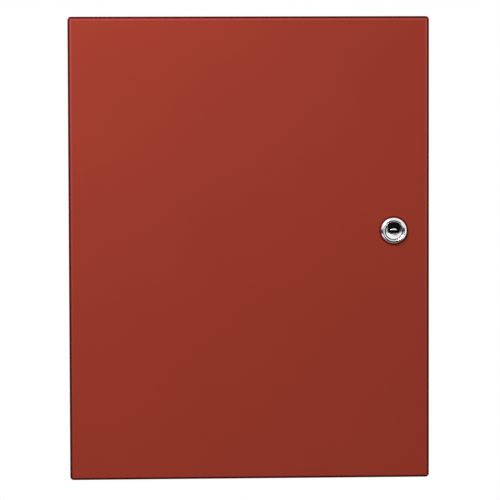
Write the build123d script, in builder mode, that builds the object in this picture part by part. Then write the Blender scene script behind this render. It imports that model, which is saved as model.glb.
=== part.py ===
"""Fire alarm control panel in a red sheet-steel wall cabinet with a full-height locking door.

Units are millimetres.  X points right as seen from the room, Y points from the room into the
wall and Z points up.  The origin lies on the wall, behind the centre of the closed door.
The door is closed and its cam lock stands unlocked, with the cam hanging straight down.
"""

import os
from math import radians, tan

from build123d import *

os.makedirs("parts", exist_ok=True)

# ---------------------------------------------------------------- driving dimensions

# Small round parts are drawn with few sides, which keeps the model light
small_round_sides = 12
terminal_bore_sides = 8
large_round_sides = 24

# Cabinet and door
door_width = 307.0
door_height = 394.0
cabinet_depth = 114.3            # wall to the outer face of the door
door_sheet = 1.2
door_flange = 12.0               # folded edges along the top, the bottom and the lock side
hinge_side_return = 3.8          # shorter fold that conceals the hinge
door_corner_radius = 3.0
door_bend_radius = 1.5
box_sheet = 1.2
box_edge_radius = 1.5
side_clearance = 1.0             # box wall to the door flange on the lock side
end_clearance = 1.2              # box wall to the door flange at the top and the bottom
door_gap = 1.8                   # back of the door to the front lip of the box
lip_width = 12.0

# Continuous hinge
hinge_end_inset = 14.0           # end of the hinge to the end of the door
knuckle_radius = 2.5
knuckle_count = 7
knuckle_gap = 0.4
knuckle_clearance = 0.3
hinge_pin_radius = 1.2
hinge_pin_play = 0.05
hinge_leaf_sheet = 1.0
door_leaf_width = 16.0
box_leaf_width = 20.0

# Cam lock
lock_edge_distance = 30.3        # lock axis to the free edge of the door
lock_rise = 14.6                 # lock axis above mid-height
lock_head_radius = 11.5
lock_head_height = 3.0
lock_rim_width = 3.2
lock_rim_bevel = 1.0
lock_seat_height = 0.5           # floor of the head's recess above the door
lock_barrel_radius = 9.4
lock_barrel_length = 11.0
lock_flat_distance = 7.9         # axis to each flat of the double-D barrel
lock_hole_clearance = 0.15
lock_plug_radius = 6.4
lock_plug_play = 0.08
plug_face_gap = 0.2              # plug face inside the recess of the head
plug_seat_gap = 0.1
plug_recess = 0.8                # rim of the plug below the front of the head
plug_edge = 0.8
plug_dish = 1.0
plug_dish_break = 0.75          # share of the dish reached halfway in
keyway_width = 9.0
keyway_height = 1.9
keyway_depth = 9.0
lock_nut_flats = 22.0
lock_nut_height = 3.5
lock_nut_play = 0.1
cam_sheet = 2.0
cam_width = 13.0
cam_reach = 24.0
cam_hub_radius = 8.5
cam_bend_start = 12.0            # from the lock axis to the crank of the cam
cam_bend_run = 3.5
cam_bend_shift = 1.0             # keeps the crank as thick as the sheet
cam_play = 0.2                   # end of the barrel to the hub of the cam
cam_lip_gap = 0.8                # back of the box lip to the raised end of the cam
cam_square = 8.0
cam_square_play = 0.1
cam_screw_radius = 2.5
cam_screw_head_radius = 6.0
cam_screw_head_height = 3.0
cam_screw_reach = 3.0
cam_screw_slot = 1.2
cam_screw_play = 0.05
cam_screw_hole_depth = 4.0
tail_setback = 0.1               # end of the square tail below the back of the cam

# Wall fixing and conduit entries
wall_hole_inset = 11.0           # side of the box to the centre of each wall hole
wall_hole_radius = 3.25
lower_hole_gap = 40.0            # below the board
keyhole_drop = 34.6              # seat of the wall screw below the top of the box
keyhole_head_radius = 6.0
keyhole_travel = 10.0
knockout_radius = 11.1           # half-inch trade size
knockout_step = 0.4              # how far each disc is punched in
knockout_depth = 55.0            # centre of each knockout in front of the wall
knockout_pitch = 90.0            # in the top and the bottom
side_knockout_heights = (-60.0, 150.0)

# Control board
board_width = 262.0
board_height = 200.0
board_sheet = 1.6
board_top_gap = 14.6             # top of the box to the top of the board
board_hole_radius = 1.75
board_hole_inset = 6.0
panel_shift = 11.0               # display, lamps and buttons left of the board's middle
standoff_height = 12.0
standoff_radius = 3.2
standoff_bore_radius = 1.65
board_screw_radius = 1.5
board_screw_length = 7.0
board_screw_head_radius = 3.0
board_screw_head_height = 2.0

# Chips: offset from the panel's middle, share of the board's height, then their sizes
chip_layout = [
    (8.0, 0.17, (24.0, 24.0, 3.6)),
    (-28.0, 0.21, (20.0, 7.0, 3.6)),
    (-28.0, 0.14, (20.0, 7.0, 3.6)),
    (44.0, 0.14, (36.0, 14.0, 4.0)),
    (44.0, 0.24, (20.0, 7.0, 3.6)),
    (84.0, 0.82, (18.0, 10.0, 3.0)),
    (-54.0, 0.82, (20.0, 7.0, 3.6)),
]

# Terminal blocks on the board
terminal_pitch = 7.62
terminal_count = 6
terminal_depth = 15.0
terminal_height = 17.0
terminal_shoulder = 0.6          # of the height: where the front starts to slope
terminal_slope = 0.3             # of the depth: how far it slopes back
terminal_entry_rise = 0.34       # of the height: middle of the wire entries
terminal_screw_shift = 0.15      # of the depth: the screws behind the middle
terminal_edge_inset = 1.0        # block to the edge of the board
terminal_block_gap = 4.28
terminal_row_gap = 14.0          # room for a board screw in the middle of the top row
terminal_column_drop = 55.0
terminal_entry_size = 5.0
terminal_entry_depth = 8.0
terminal_bore_radius = 2.2
terminal_bore_depth = 6.0
terminal_screw_radius = 2.0
terminal_screw_height = 3.0

# Display module
lcd_board_size = (116.0, 44.0)
lcd_board_sheet = 1.6
lcd_spacer_height = 6.0
lcd_spacer_radius = 2.5
lcd_spacer_inset = 3.5
lcd_bezel_size = (98.0, 38.0)
lcd_bezel_height = 8.0
lcd_window_size = (80.0, 24.0)
lcd_glass_recess = 1.0
lcd_glass_gap = 0.2
lcd_bezel_bevel = 0.6
lcd_row = 0.64                   # share of the board's height

# Push buttons
button_body_size = 12.4
button_body_height = 5.6
button_well_radius = 4.0
button_play = 0.15
button_cap_radius = 5.0
button_cap_height = 5.0
button_travel = 1.5
button_end_gap = 0.2             # left under the cap and the stem at full travel
button_bevel = 0.7
button_stem_depth = 2.4
button_pitch = 30.0
button_row = 0.36

# Power section of the board
capacitor_radius = 9.0
capacitor_height = 32.0
capacitor_bevel = 1.0
capacitor_gap = 4.5
capacitor_inset = 22.0
capacitor_row = 0.35
heat_sink_size = (24.0, 60.0, 30.0)
heat_sink_base = 4.0
heat_sink_fin = 1.6
heat_sink_fin_count = 7
heat_sink_inset = 30.0
heat_sink_row = 0.73
power_device_size = (4.6, 10.4, 20.0)
power_device_pitch = 26.0
power_device_bevel = 0.8
fuse_length = 20.0
fuse_radius = 2.6
fuse_glass_radius = 2.35
fuse_cap_length = 5.0
fuse_lift = 4.6
fuse_clip_size = (4.0, 7.2, 6.0)
fuse_inset = 32.0
fuse_row = 0.1
fuse_pitch = 13.0
relay_size = (29.0, 12.7, 15.7)
relay_bevel = 0.6
relay_inset = 38.0
relay_row = 0.22
relay_pitch = 17.0
buzzer_radius = 11.5
buzzer_height = 9.5
buzzer_bevel = 1.0
buzzer_port_radius = 1.6
buzzer_inset = 58.0
led_radius = 2.5
led_tip = 1.0                    # bevel of the lens
led_height = 7.0
led_pitch = 19.0
led_row = 0.47
header_size = (30.0, 9.0, 10.0)
header_shift = 58.0
header_row = 0.04
plug_size = (27.0, 7.0, 12.0)
plug_bevel = 0.8

# Batteries
battery_transformer_gap = 5.9
battery_depth = 70.0
battery_height = 101.0
battery_lid_height = 14.0
battery_lid_step = 0.8
battery_gap = 4.0
battery_wall_gap = 3.0
battery_side_gap = 3.0
battery_bevel = 2.4
vent_well_inset = 8.0
vent_well_width = 22.0
vent_well_shift = 8.0            # towards the wall
vent_well_depth = 1.5
tab_size = (6.35, 0.8, 8.0)
tab_inset = 12.0
receptacle_size = (9.0, 4.2, 16.0)
receptacle_bevel = 1.0
receptacle_cover = 7.0           # length of the tab inside its receptacle

# Mains transformer
core_size = (76.0, 38.0, 62.0)   # along X, Z and out from the wall
coil_size = (50.4, 62.0, 1.4)    # bobbin along X and Z, and its wall thickness
bobbin_fit = 0.2
winding_corner_radius = 5.0
winding_step = 4.0               # winding inside the edges of the bobbin, over both sides
bracket_sheet = 1.6
bracket_width = 32.0
bracket_foot = 10.0
transformer_side_gap = 3.5       # bracket to the right wall
transformer_floor_gap = 14.4     # coil to the bottom wall
bracket_screw_radius = 2.0
bracket_screw_play = 0.1
bracket_screw_head_radius = 4.0
bracket_screw_head_height = 2.4

# Mains terminal block and bonding stud
mains_block_size = (52.0, 24.0, 18.0)
mains_block_shift = 5.0          # left of the transformer's middle
mains_way_width = 12.0
mains_barrier = 3.0
mains_floor = 9.0
mains_bevel = 1.0
mains_slot_width = 1.0
mains_slot_depth = 1.2
mains_screw_radius = 3.4
mains_screw_height = 2.4
stud_radius = 2.5
stud_height = 16.0
stud_shift = 62.0                # left of the mains block's middle
stud_gap = 26.0                  # below the board
stud_nut_flats = 8.0
stud_nut_height = 4.0
lug_radius = 5.0
lug_reach = 15.0
lug_barrel_radius = 2.0
lug_sheet = 1.0

# Wiring
lead_radius = 1.1
lead_sides = 6
lead_bend = 10.0                 # widest bend, where the runs beside it have room
lead_bend_share = 0.49           # of a run that one bend may take up
lead_exit_share = 0.42           # of a battery lead's drop, straight down from the plug
lead_landing_share = 0.4         # of the same drop, straight down to the tab
jumper_rise = 21.0               # of the lead between the two batteries
secondary_depth = 0.8            # of the winding's rise from the wall, where its leads leave
primary_depth = 0.3
coil_exit_share = 0.15           # of a coil lead's rise, straight up from the winding
coil_landing_share = 0.22        # of the same rise, straight up to the plug
plug_wire_offset = 5.0
coil_exit_pitch = 8.0

# Rubber bumpers between lip and door
bumper_radius = 4.5
bumper_clearance = 0.3

# ---------------------------------------------------------------- derived positions

front_y = -cabinet_depth
door_back_y = front_y + door_sheet
lip_front_y = door_back_y + door_gap
lip_back_y = lip_front_y + box_sheet
box_depth = -lip_front_y

hinge_offset = knuckle_radius + knuckle_clearance      # axis to the sheets that it clears
hinge_x = -door_width / 2 + door_sheet + hinge_offset
hinge_y = door_back_y + hinge_offset
hinge_length = door_height - 2 * hinge_end_inset
knuckle_pitch = hinge_length / knuckle_count

box_left = hinge_x + hinge_offset
box_right = door_width / 2 - door_sheet - side_clearance
box_top = door_height / 2 - door_sheet - end_clearance
box_width = box_right - box_left
box_height = 2 * box_top
box_x = (box_left + box_right) / 2
floor_z = -box_top + box_sheet                         # inner face of the bottom wall

lock_x = door_width / 2 - lock_edge_distance
lock_axis = Axis((lock_x, front_y, lock_rise), (0, 1, 0))
lock_section = Plane(origin=(lock_x, front_y, lock_rise), x_dir=(1, 0, 0), z_dir=(0, 0, 1))
cam_plane_y = lock_barrel_length + cam_play            # front of the cam's hub behind the door face
cam_tip_y = lip_back_y + cam_lip_gap - front_y         # front of the raised cam end

board_left = box_x - board_width / 2
board_back_y = -(box_sheet + standoff_height)
board_front_y = board_back_y - board_sheet
board_bottom_z = box_top - board_top_gap - board_height
board_face = Plane(origin=(board_left, board_front_y, board_bottom_z), x_dir=(1, 0, 0), z_dir=(0, -1, 0))
inner_wall = Plane.XZ.offset(box_sheet)                # inner face of the back plate, facing the room

core_width, core_stack, core_rise = core_size
bobbin_width, bobbin_height, bobbin_flange = coil_size
bracket_half = core_width / 2 + bracket_sheet
transformer_x = box_right - box_sheet - transformer_side_gap - bracket_half - bracket_foot
transformer_z = floor_z + transformer_floor_gap + bobbin_height / 2

battery_start = box_left + box_sheet + battery_side_gap
battery_end = transformer_x - bracket_half - bracket_foot - battery_transformer_gap
battery_width = (battery_end - battery_start - battery_gap) / 2
battery_left_x = battery_start + battery_width / 2
battery_right_x = battery_left_x + battery_width + battery_gap
battery_y = -(box_sheet + battery_wall_gap + battery_depth / 2)
battery_top_z = floor_z + battery_height
tab_y = battery_y - battery_depth / 2 + tab_inset

mains_width, mains_height, mains_rise = mains_block_size
mains_block_x = transformer_x - mains_block_shift
mains_block_z = (transformer_z + bobbin_height / 2 + board_bottom_z) / 2
stud_x = mains_block_x - stud_shift
stud_z = board_bottom_z - stud_gap

# ---------------------------------------------------------------- layout of the board
# Places are (across, up) from the lower left corner of the board.

panel_across = board_width / 2 - panel_shift           # middle of the display, lamps and buttons
board_holes = [
    (across, up)
    for up in (board_hole_inset, board_height - board_hole_inset)
    for across in (board_hole_inset, panel_across, board_width - board_hole_inset)
]

terminal_length = terminal_pitch * terminal_count
terminal_step = terminal_length + terminal_block_gap
terminal_inset = terminal_edge_inset + terminal_depth / 2
terminal_first = (terminal_row_gap + terminal_step) / 2
terminal_row = [
    (panel_across + side * (terminal_first + block * terminal_step), board_height - terminal_inset)
    for side in (-1, 1)
    for block in range(2)
]
terminal_column = [
    (board_width - terminal_inset, board_height - terminal_column_drop - block * terminal_step)
    for block in range(2)
]

lcd_centre = (panel_across, lcd_row * board_height)
button_names = ("acknowledge_button", "silence_button", "reset_button", "drill_button")
button_places = {
    name: (panel_across + (index - 1.5) * button_pitch, button_row * board_height)
    for index, name in enumerate(button_names)
}
lamp_places = [(panel_across + (index - 2.5) * led_pitch, led_row * board_height) for index in range(6)]
led_places = {"power_led": lamp_places[:1], "alarm_led": lamp_places[1:2], "trouble_leds": lamp_places[2:]}

capacitor_step = 2 * capacitor_radius + capacitor_gap
capacitor_places = [
    (capacitor_inset + column * capacitor_step, capacitor_row * board_height + row * capacitor_step)
    for column, row in ((0, 0), (0, 1), (1, 1))
]
heat_sink_place = (heat_sink_inset, heat_sink_row * board_height)
fuse_places = [(fuse_inset, fuse_row * board_height + index * fuse_pitch) for index in range(3)]
relay_places = [
    (board_width - relay_inset, relay_row * board_height + index * relay_pitch) for index in range(4)
]
buzzer_place = (board_width - buzzer_inset, lcd_row * board_height)
header_places = {
    name: (panel_across + side * header_shift, header_row * board_height)
    for name, side in (("battery", -1), ("supply", 1))
}


# ---------------------------------------------------------------- helpers


def write(piece, name):
    """Labels a finished piece and writes it as its own node."""
    piece.part.label = name
    export_step(piece.part, f"parts/{name}.step")


def on_board(places, turn=0):
    """Locations on the front of the board, each turned about the board's normal."""
    return [board_face.location * Location((across, up, 0), (0, 0, turn)) for across, up in places]


def knuckle_centres(first):
    """Mid-heights of every second knuckle, counted from the lower end of the hinge."""
    return [(index + 0.5) * knuckle_pitch - hinge_length / 2 for index in range(first, knuckle_count, 2)]


# ---------------------------------------------------------------- back box

wall_hole_columns = (box_left + wall_hole_inset, box_right - wall_hole_inset)
keyhole_places = [(x, box_top - keyhole_drop) for x in wall_hole_columns]
lower_hole_places = [(x, board_bottom_z - lower_hole_gap) for x in wall_hole_columns]

top_wall = Plane(origin=(box_x, -knockout_depth, box_top), z_dir=(0, 0, 1), x_dir=(1, 0, 0))
bottom_wall = Plane(origin=(box_x, -knockout_depth, -box_top), z_dir=(0, 0, -1), x_dir=(1, 0, 0))
right_wall = Plane(origin=(box_right, -knockout_depth, 0), z_dir=(1, 0, 0), x_dir=(0, 0, 1))
left_wall = Plane(origin=(box_left, -knockout_depth, 0), z_dir=(-1, 0, 0), x_dir=(0, 0, 1))
knockout_rows = [
    (top_wall, (-knockout_pitch, 0, knockout_pitch)),
    (bottom_wall, (knockout_pitch,)),
    (right_wall, side_knockout_heights),
    (left_wall, side_knockout_heights),
]

with BuildPart() as back_box:
    with BuildSketch(Plane.XZ):
        with Locations((box_x, 0)):
            RectangleRounded(box_width, box_height, box_edge_radius)
    extrude(amount=box_depth)
    chamfer(back_box.faces().sort_by(Axis.Y)[0].edges(), box_edge_radius / 2)
    with BuildSketch(inner_wall):
        with Locations((box_x, 0)):
            Rectangle(box_width - 2 * box_sheet, box_height - 2 * box_sheet)
    extrude(amount=box_depth - 2 * box_sheet, mode=Mode.SUBTRACT)
    with BuildSketch(inner_wall):
        with Locations((box_x, 0)):
            RectangleRounded(box_width - 2 * lip_width, box_height - 2 * lip_width, box_edge_radius)
    extrude(amount=box_depth, mode=Mode.SUBTRACT)
    # Wall screws: two keyholes above, two round holes below.
    with BuildSketch(Plane.XZ):
        with Locations(*[(x, z - keyhole_travel) for x, z in keyhole_places]):
            Circle(keyhole_head_radius)
        with Locations(*[(x, z - keyhole_travel / 2) for x, z in keyhole_places]):
            SlotOverall(keyhole_travel + 2 * wall_hole_radius, 2 * wall_hole_radius, rotation=90)
        with Locations(*lower_hole_places):
            Circle(wall_hole_radius)
    extrude(amount=box_sheet, mode=Mode.SUBTRACT)
    # Conduit knockouts, punched part of the way in and still closed.
    for wall, centres in knockout_rows:
        with BuildSketch(wall):
            with Locations(*[(centre, 0) for centre in centres]):
                RegularPolygon(knockout_radius, large_round_sides)
        extrude(amount=-knockout_step, mode=Mode.SUBTRACT)
write(back_box, "back_box")

with BuildPart() as door_bumpers:
    bumper_height = door_gap - bumper_clearance
    bumper_x = box_right - lip_width / 2
    bumper_z = box_top - 2 * lip_width
    with BuildSketch(Plane.XZ.offset(box_depth)):
        with Locations((bumper_x, bumper_z), (bumper_x, -bumper_z)):
            RegularPolygon(bumper_radius, large_round_sides)
    extrude(amount=bumper_height)
    chamfer(door_bumpers.edges().group_by(Axis.Y)[0], bumper_height / 3)
write(door_bumpers, "door_bumpers")

# ---------------------------------------------------------------- door

with BuildPart() as door:
    with BuildSketch(Plane.XZ.offset(cabinet_depth)):
        RectangleRounded(door_width, door_height, door_corner_radius)
    extrude(amount=-door_flange)
    fillet(door.faces().sort_by(Axis.Y)[0].edges(), door_bend_radius)
    with BuildSketch(Plane.XZ.offset(-door_back_y)):
        RectangleRounded(
            door_width - 2 * door_sheet,
            door_height - 2 * door_sheet,
            door_corner_radius - door_sheet,
        )
    extrude(amount=-door_flange, mode=Mode.SUBTRACT)
    # The hinge side keeps only a short return, and both flanges start past the hinge.
    relief_depth = door_flange - hinge_side_return
    relief_width = box_left + door_width / 2
    with Locations((-door_width / 2, front_y + hinge_side_return, 0)):
        Box(
            relief_width,
            relief_depth,
            door_height,
            align=(Align.MIN, Align.MIN, Align.CENTER),
            mode=Mode.SUBTRACT,
        )
    # Double-D hole for the lock barrel.
    with BuildSketch(Plane.XZ.offset(cabinet_depth)):
        with Locations((lock_x, lock_rise)):
            Circle(lock_barrel_radius + lock_hole_clearance)
            Rectangle(
                2 * (lock_flat_distance + lock_hole_clearance),
                4 * lock_barrel_radius,
                mode=Mode.INTERSECT,
            )
    extrude(amount=-2 * door_sheet, mode=Mode.SUBTRACT)
write(door, "door")

# ---------------------------------------------------------------- continuous hinge

knuckle_length = knuckle_pitch - knuckle_gap
notch_length = knuckle_pitch + knuckle_gap
hinge_bore_radius = hinge_pin_radius + hinge_pin_play

with BuildPart() as hinge_box_leaf:
    with Locations((box_left, hinge_y, 0)):
        Box(hinge_leaf_sheet, box_leaf_width, hinge_length, align=(Align.MAX, Align.MIN, Align.CENTER))
    with Locations(*[(box_left, hinge_y, centre) for centre in knuckle_centres(1)]):
        Box(
            hinge_leaf_sheet,
            hinge_offset,
            notch_length,
            align=(Align.MAX, Align.MIN, Align.CENTER),
            mode=Mode.SUBTRACT,
        )
    with Locations(*[(hinge_x, hinge_y, centre) for centre in knuckle_centres(0)]):
        Cylinder(knuckle_radius, knuckle_length)
    with Locations((hinge_x, hinge_y, 0)):
        Cylinder(hinge_bore_radius, hinge_length, mode=Mode.SUBTRACT)
write(hinge_box_leaf, "hinge_box_leaf")

with BuildPart() as hinge_door_leaf:
    with Locations((hinge_x, door_back_y, 0)):
        Box(door_leaf_width, hinge_leaf_sheet, hinge_length, align=(Align.MIN, Align.MIN, Align.CENTER))
    with Locations(*[(hinge_x, door_back_y, centre) for centre in knuckle_centres(0)]):
        Box(
            hinge_offset,
            hinge_leaf_sheet,
            notch_length,
            align=(Align.MIN, Align.MIN, Align.CENTER),
            mode=Mode.SUBTRACT,
        )
    with Locations(*[(hinge_x, hinge_y, centre) for centre in knuckle_centres(1)]):
        Cylinder(knuckle_radius, knuckle_length)
    with Locations((hinge_x, hinge_y, 0)):
        Cylinder(hinge_bore_radius, hinge_length, mode=Mode.SUBTRACT)
write(hinge_door_leaf, "hinge_door_leaf")

with BuildPart() as hinge_pin:
    with Locations((hinge_x, hinge_y, 0)):
        Cylinder(hinge_pin_radius, hinge_length)
write(hinge_pin, "hinge_pin")

# ---------------------------------------------------------------- cam lock
# Sections are drawn as (distance from the lock axis, depth behind the door's outer face).

recess_radius = lock_head_radius - lock_rim_width
plug_bore_radius = lock_plug_radius + lock_plug_play

with BuildPart() as lock_housing:
    with BuildSketch(lock_section):
        with BuildLine():
            Polyline(
                (plug_bore_radius, lock_barrel_length),
                (lock_barrel_radius, lock_barrel_length),
                (lock_barrel_radius, 0),
                (lock_head_radius, 0),
                (lock_head_radius, -lock_head_height + lock_rim_bevel),
                (lock_head_radius - lock_rim_bevel, -lock_head_height),
                (recess_radius + lock_rim_bevel / 2, -lock_head_height),
                (recess_radius, -lock_head_height + lock_rim_bevel / 2),
                (recess_radius, -lock_seat_height),
                (plug_bore_radius, -lock_seat_height),
                (plug_bore_radius, lock_barrel_length),
            )
        make_face()
    revolve(axis=lock_axis)
    # Flats on both sides of the barrel stop it turning in the door.
    for side in (-1, 1):
        with Locations((lock_x + side * lock_flat_distance, front_y, lock_rise)):
            Box(
                lock_barrel_radius,
                lock_barrel_length,
                2 * lock_barrel_radius,
                align=(Align.MIN if side > 0 else Align.MAX, Align.MIN, Align.CENTER),
                mode=Mode.SUBTRACT,
            )
write(lock_housing, "lock_housing")

plug_face_radius = recess_radius - plug_face_gap
plug_seat = lock_seat_height + plug_seat_gap
plug_rim = lock_head_height - plug_recess
tail_end = cam_plane_y + cam_sheet - tail_setback

with BuildPart() as lock_plug:
    with BuildSketch(lock_section):
        with BuildLine():
            Polyline(
                (0, -(plug_rim - plug_dish)),
                (0, cam_plane_y),
                (lock_plug_radius, cam_plane_y),
                (lock_plug_radius, -plug_seat),
                (plug_face_radius, -plug_seat),
                (plug_face_radius, -plug_rim),
                (plug_face_radius - plug_edge, -plug_rim),
                (plug_face_radius / 2, -(plug_rim - plug_dish_break * plug_dish)),
                close=True,
            )
        make_face()
    revolve(axis=lock_axis)
    with BuildSketch(Plane.XZ.offset(cabinet_depth - cam_plane_y)):
        with Locations((lock_x, lock_rise)):
            Rectangle(cam_square, cam_square)
    extrude(amount=-(tail_end - cam_plane_y))
    # Keyway with its side ward, lying flat while the cam is unlocked.
    with BuildSketch(Plane.XZ.offset(cabinet_depth + plug_rim)):
        with Locations((lock_x, lock_rise)):
            Rectangle(keyway_width, keyway_height)
        with Locations((lock_x - keyway_width / 5, lock_rise - keyway_height / 2)):
            Rectangle(keyway_width / 4, keyway_height)
    extrude(amount=-keyway_depth, mode=Mode.SUBTRACT)
    # Tapped hole for the cam screw.
    with BuildSketch(Plane.XZ.offset(cabinet_depth - tail_end)):
        with Locations((lock_x, lock_rise)):
            Circle(cam_screw_radius + cam_screw_play)
    extrude(amount=cam_screw_hole_depth, mode=Mode.SUBTRACT)
write(lock_plug, "lock_plug")

with BuildPart() as lock_nut:
    with BuildSketch(Plane.XZ.offset(-door_back_y)):
        with Locations((lock_x, lock_rise)):
            RegularPolygon(lock_nut_flats / 2, 6, major_radius=False)
            Circle(lock_barrel_radius + lock_nut_play, mode=Mode.SUBTRACT)
    extrude(amount=-lock_nut_height)
write(lock_nut, "lock_nut")

cam_side = Plane(origin=(lock_x, front_y, lock_rise), x_dir=(0, 0, -1), z_dir=(1, 0, 0))

with BuildPart() as lock_cam:
    # Side view, drawn as (distance down the cam, depth behind the door's outer face).
    bend_end = cam_bend_start + cam_bend_run
    with BuildSketch(cam_side):
        with BuildLine():
            Polyline(
                (-cam_hub_radius, cam_plane_y),
                (cam_bend_start - cam_bend_shift, cam_plane_y),
                (bend_end - cam_bend_shift, cam_tip_y),
                (cam_reach, cam_tip_y),
                (cam_reach, cam_tip_y + cam_sheet),
                (bend_end, cam_tip_y + cam_sheet),
                (cam_bend_start, cam_plane_y + cam_sheet),
                (-cam_hub_radius, cam_plane_y + cam_sheet),
                close=True,
            )
        make_face()
    extrude(amount=cam_hub_radius, both=True)
    # Front view: round hub, straight arm and round end.
    arm_length = cam_reach - cam_width / 2
    with BuildSketch(Plane.XZ.offset(cabinet_depth)):
        with Locations((lock_x, lock_rise)):
            Circle(cam_hub_radius)
        with Locations((lock_x, lock_rise - arm_length / 2)):
            Rectangle(cam_width, arm_length)
        with Locations((lock_x, lock_rise - arm_length)):
            Circle(cam_width / 2)
    extrude(amount=-2 * lock_barrel_length, mode=Mode.INTERSECT)
    with BuildSketch(Plane.XZ.offset(cabinet_depth)):
        with Locations((lock_x, lock_rise)):
            Rectangle(cam_square + 2 * cam_square_play, cam_square + 2 * cam_square_play)
    extrude(amount=-2 * lock_barrel_length, mode=Mode.SUBTRACT)
write(lock_cam, "lock_cam")

with BuildPart() as cam_screw:
    cam_back = cam_plane_y + cam_sheet
    with BuildSketch(Plane.XZ.offset(cabinet_depth - cam_back)):
        with Locations((lock_x, lock_rise)):
            RegularPolygon(cam_screw_head_radius, large_round_sides)
    extrude(amount=-cam_screw_head_height)
    chamfer(cam_screw.edges().group_by(Axis.Y)[-1], cam_screw_head_height / 3)
    with BuildSketch(Plane.XZ.offset(cabinet_depth - cam_back)):
        with Locations((lock_x, lock_rise)):
            RegularPolygon(cam_screw_radius, small_round_sides)
    extrude(amount=cam_screw_reach)
    with BuildSketch(Plane.XZ.offset(cabinet_depth - cam_back - cam_screw_head_height)):
        with Locations((lock_x, lock_rise)):
            Rectangle(2 * cam_screw_head_radius, cam_screw_slot)
    extrude(amount=cam_screw_slot, mode=Mode.SUBTRACT)
write(cam_screw, "cam_screw")

# ---------------------------------------------------------------- control board

with BuildPart() as board_standoffs:
    with BuildSketch(inner_wall):
        with Locations(*[(board_left + across, board_bottom_z + up) for across, up in board_holes]):
            RegularPolygon(standoff_radius, 6, major_radius=False)
            RegularPolygon(standoff_bore_radius, small_round_sides, mode=Mode.SUBTRACT)
    extrude(amount=standoff_height)
write(board_standoffs, "board_standoffs")

with BuildPart() as control_board:
    with BuildSketch(board_face):
        with Locations((board_width / 2, board_height / 2)):
            Rectangle(board_width, board_height)
        with Locations(*board_holes):
            RegularPolygon(board_hole_radius, small_round_sides, mode=Mode.SUBTRACT)
    extrude(amount=-board_sheet)
write(control_board, "control_board")

with BuildPart() as board_screws:
    with BuildSketch(board_face):
        with Locations(*board_holes):
            RegularPolygon(board_screw_head_radius, small_round_sides)
    extrude(amount=board_screw_head_height)
    chamfer(board_screws.edges().group_by(Axis.Y)[0], board_screw_head_height / 3)
    with BuildSketch(board_face):
        with Locations(*board_holes):
            RegularPolygon(board_screw_radius, small_round_sides)
    extrude(amount=-board_screw_length)
write(board_screws, "board_screws")

# One terminal block lies along X with its wire entries on +Y and its screws on +Z.
terminal_ways = [(way - (terminal_count - 1) / 2) * terminal_pitch for way in range(terminal_count)]

with BuildPart() as terminal_block:
    with BuildSketch(Plane.YZ):
        with BuildLine():
            Polyline(
                (-terminal_depth / 2, 0),
                (terminal_depth / 2, 0),
                (terminal_depth / 2, terminal_shoulder * terminal_height),
                (terminal_depth / 2 - terminal_slope * terminal_depth, terminal_height),
                (-terminal_depth / 2, terminal_height),
                close=True,
            )
        make_face()
    extrude(amount=terminal_length / 2, both=True)
    with BuildSketch(Plane.XZ.offset(-terminal_depth / 2)):
        with Locations(*[(way, terminal_entry_rise * terminal_height) for way in terminal_ways]):
            Rectangle(terminal_entry_size, terminal_entry_size)
    extrude(amount=terminal_entry_depth, mode=Mode.SUBTRACT)
    with BuildSketch(Plane.XY.offset(terminal_height)):
        with Locations(*[(way, -terminal_screw_shift * terminal_depth) for way in terminal_ways]):
            RegularPolygon(terminal_bore_radius, terminal_bore_sides)
    extrude(amount=-terminal_bore_depth, mode=Mode.SUBTRACT)

with BuildPart() as terminal_screw_row:
    with BuildSketch(Plane.XY.offset(terminal_height - terminal_bore_depth)):
        with Locations(*[(way, -terminal_screw_shift * terminal_depth) for way in terminal_ways]):
            RegularPolygon(terminal_screw_radius, terminal_bore_sides)
    extrude(amount=terminal_screw_height)

terminal_spots = [
    *on_board(terminal_row),
    *on_board(terminal_column, turn=-90),
]

with BuildPart() as terminal_blocks:
    with Locations(*terminal_spots):
        add(terminal_block.part)
write(terminal_blocks, "terminal_blocks")

with BuildPart() as terminal_screws:
    with Locations(*terminal_spots):
        add(terminal_screw_row.part)
write(terminal_screws, "terminal_screws")

# ---------------------------------------------------------------- display module

spacer_places = [
    (lcd_centre[0] + sx * (lcd_board_size[0] / 2 - lcd_spacer_inset),
     lcd_centre[1] + sy * (lcd_board_size[1] / 2 - lcd_spacer_inset))
    for sx in (-1, 1)
    for sy in (-1, 1)
]

with BuildPart() as lcd_spacers:
    with BuildSketch(board_face):
        with Locations(*spacer_places):
            RegularPolygon(lcd_spacer_radius, 6)
    extrude(amount=lcd_spacer_height)
write(lcd_spacers, "lcd_spacers")

with BuildPart() as lcd_board:
    with BuildSketch(board_face.offset(lcd_spacer_height)):
        with Locations(lcd_centre):
            Rectangle(*lcd_board_size)
    extrude(amount=lcd_board_sheet)
write(lcd_board, "lcd_board")

lcd_face = board_face.offset(lcd_spacer_height + lcd_board_sheet)
lcd_glass_height = lcd_bezel_height - lcd_glass_recess

with BuildPart() as lcd_bezel:
    with BuildSketch(lcd_face):
        with Locations(lcd_centre):
            Rectangle(*lcd_bezel_size)
            Rectangle(*lcd_window_size, mode=Mode.SUBTRACT)
    extrude(amount=lcd_bezel_height)
    chamfer(lcd_bezel.faces().sort_by(Axis.Y)[0].outer_wire().edges(), lcd_bezel_bevel)
write(lcd_bezel, "lcd_bezel")

with BuildPart() as lcd_glass:
    with BuildSketch(lcd_face):
        with Locations(lcd_centre):
            Rectangle(lcd_window_size[0] - 2 * lcd_glass_gap, lcd_window_size[1] - 2 * lcd_glass_gap)
    extrude(amount=lcd_glass_height)
write(lcd_glass, "lcd_glass")

# ---------------------------------------------------------------- push buttons and lamps

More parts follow.
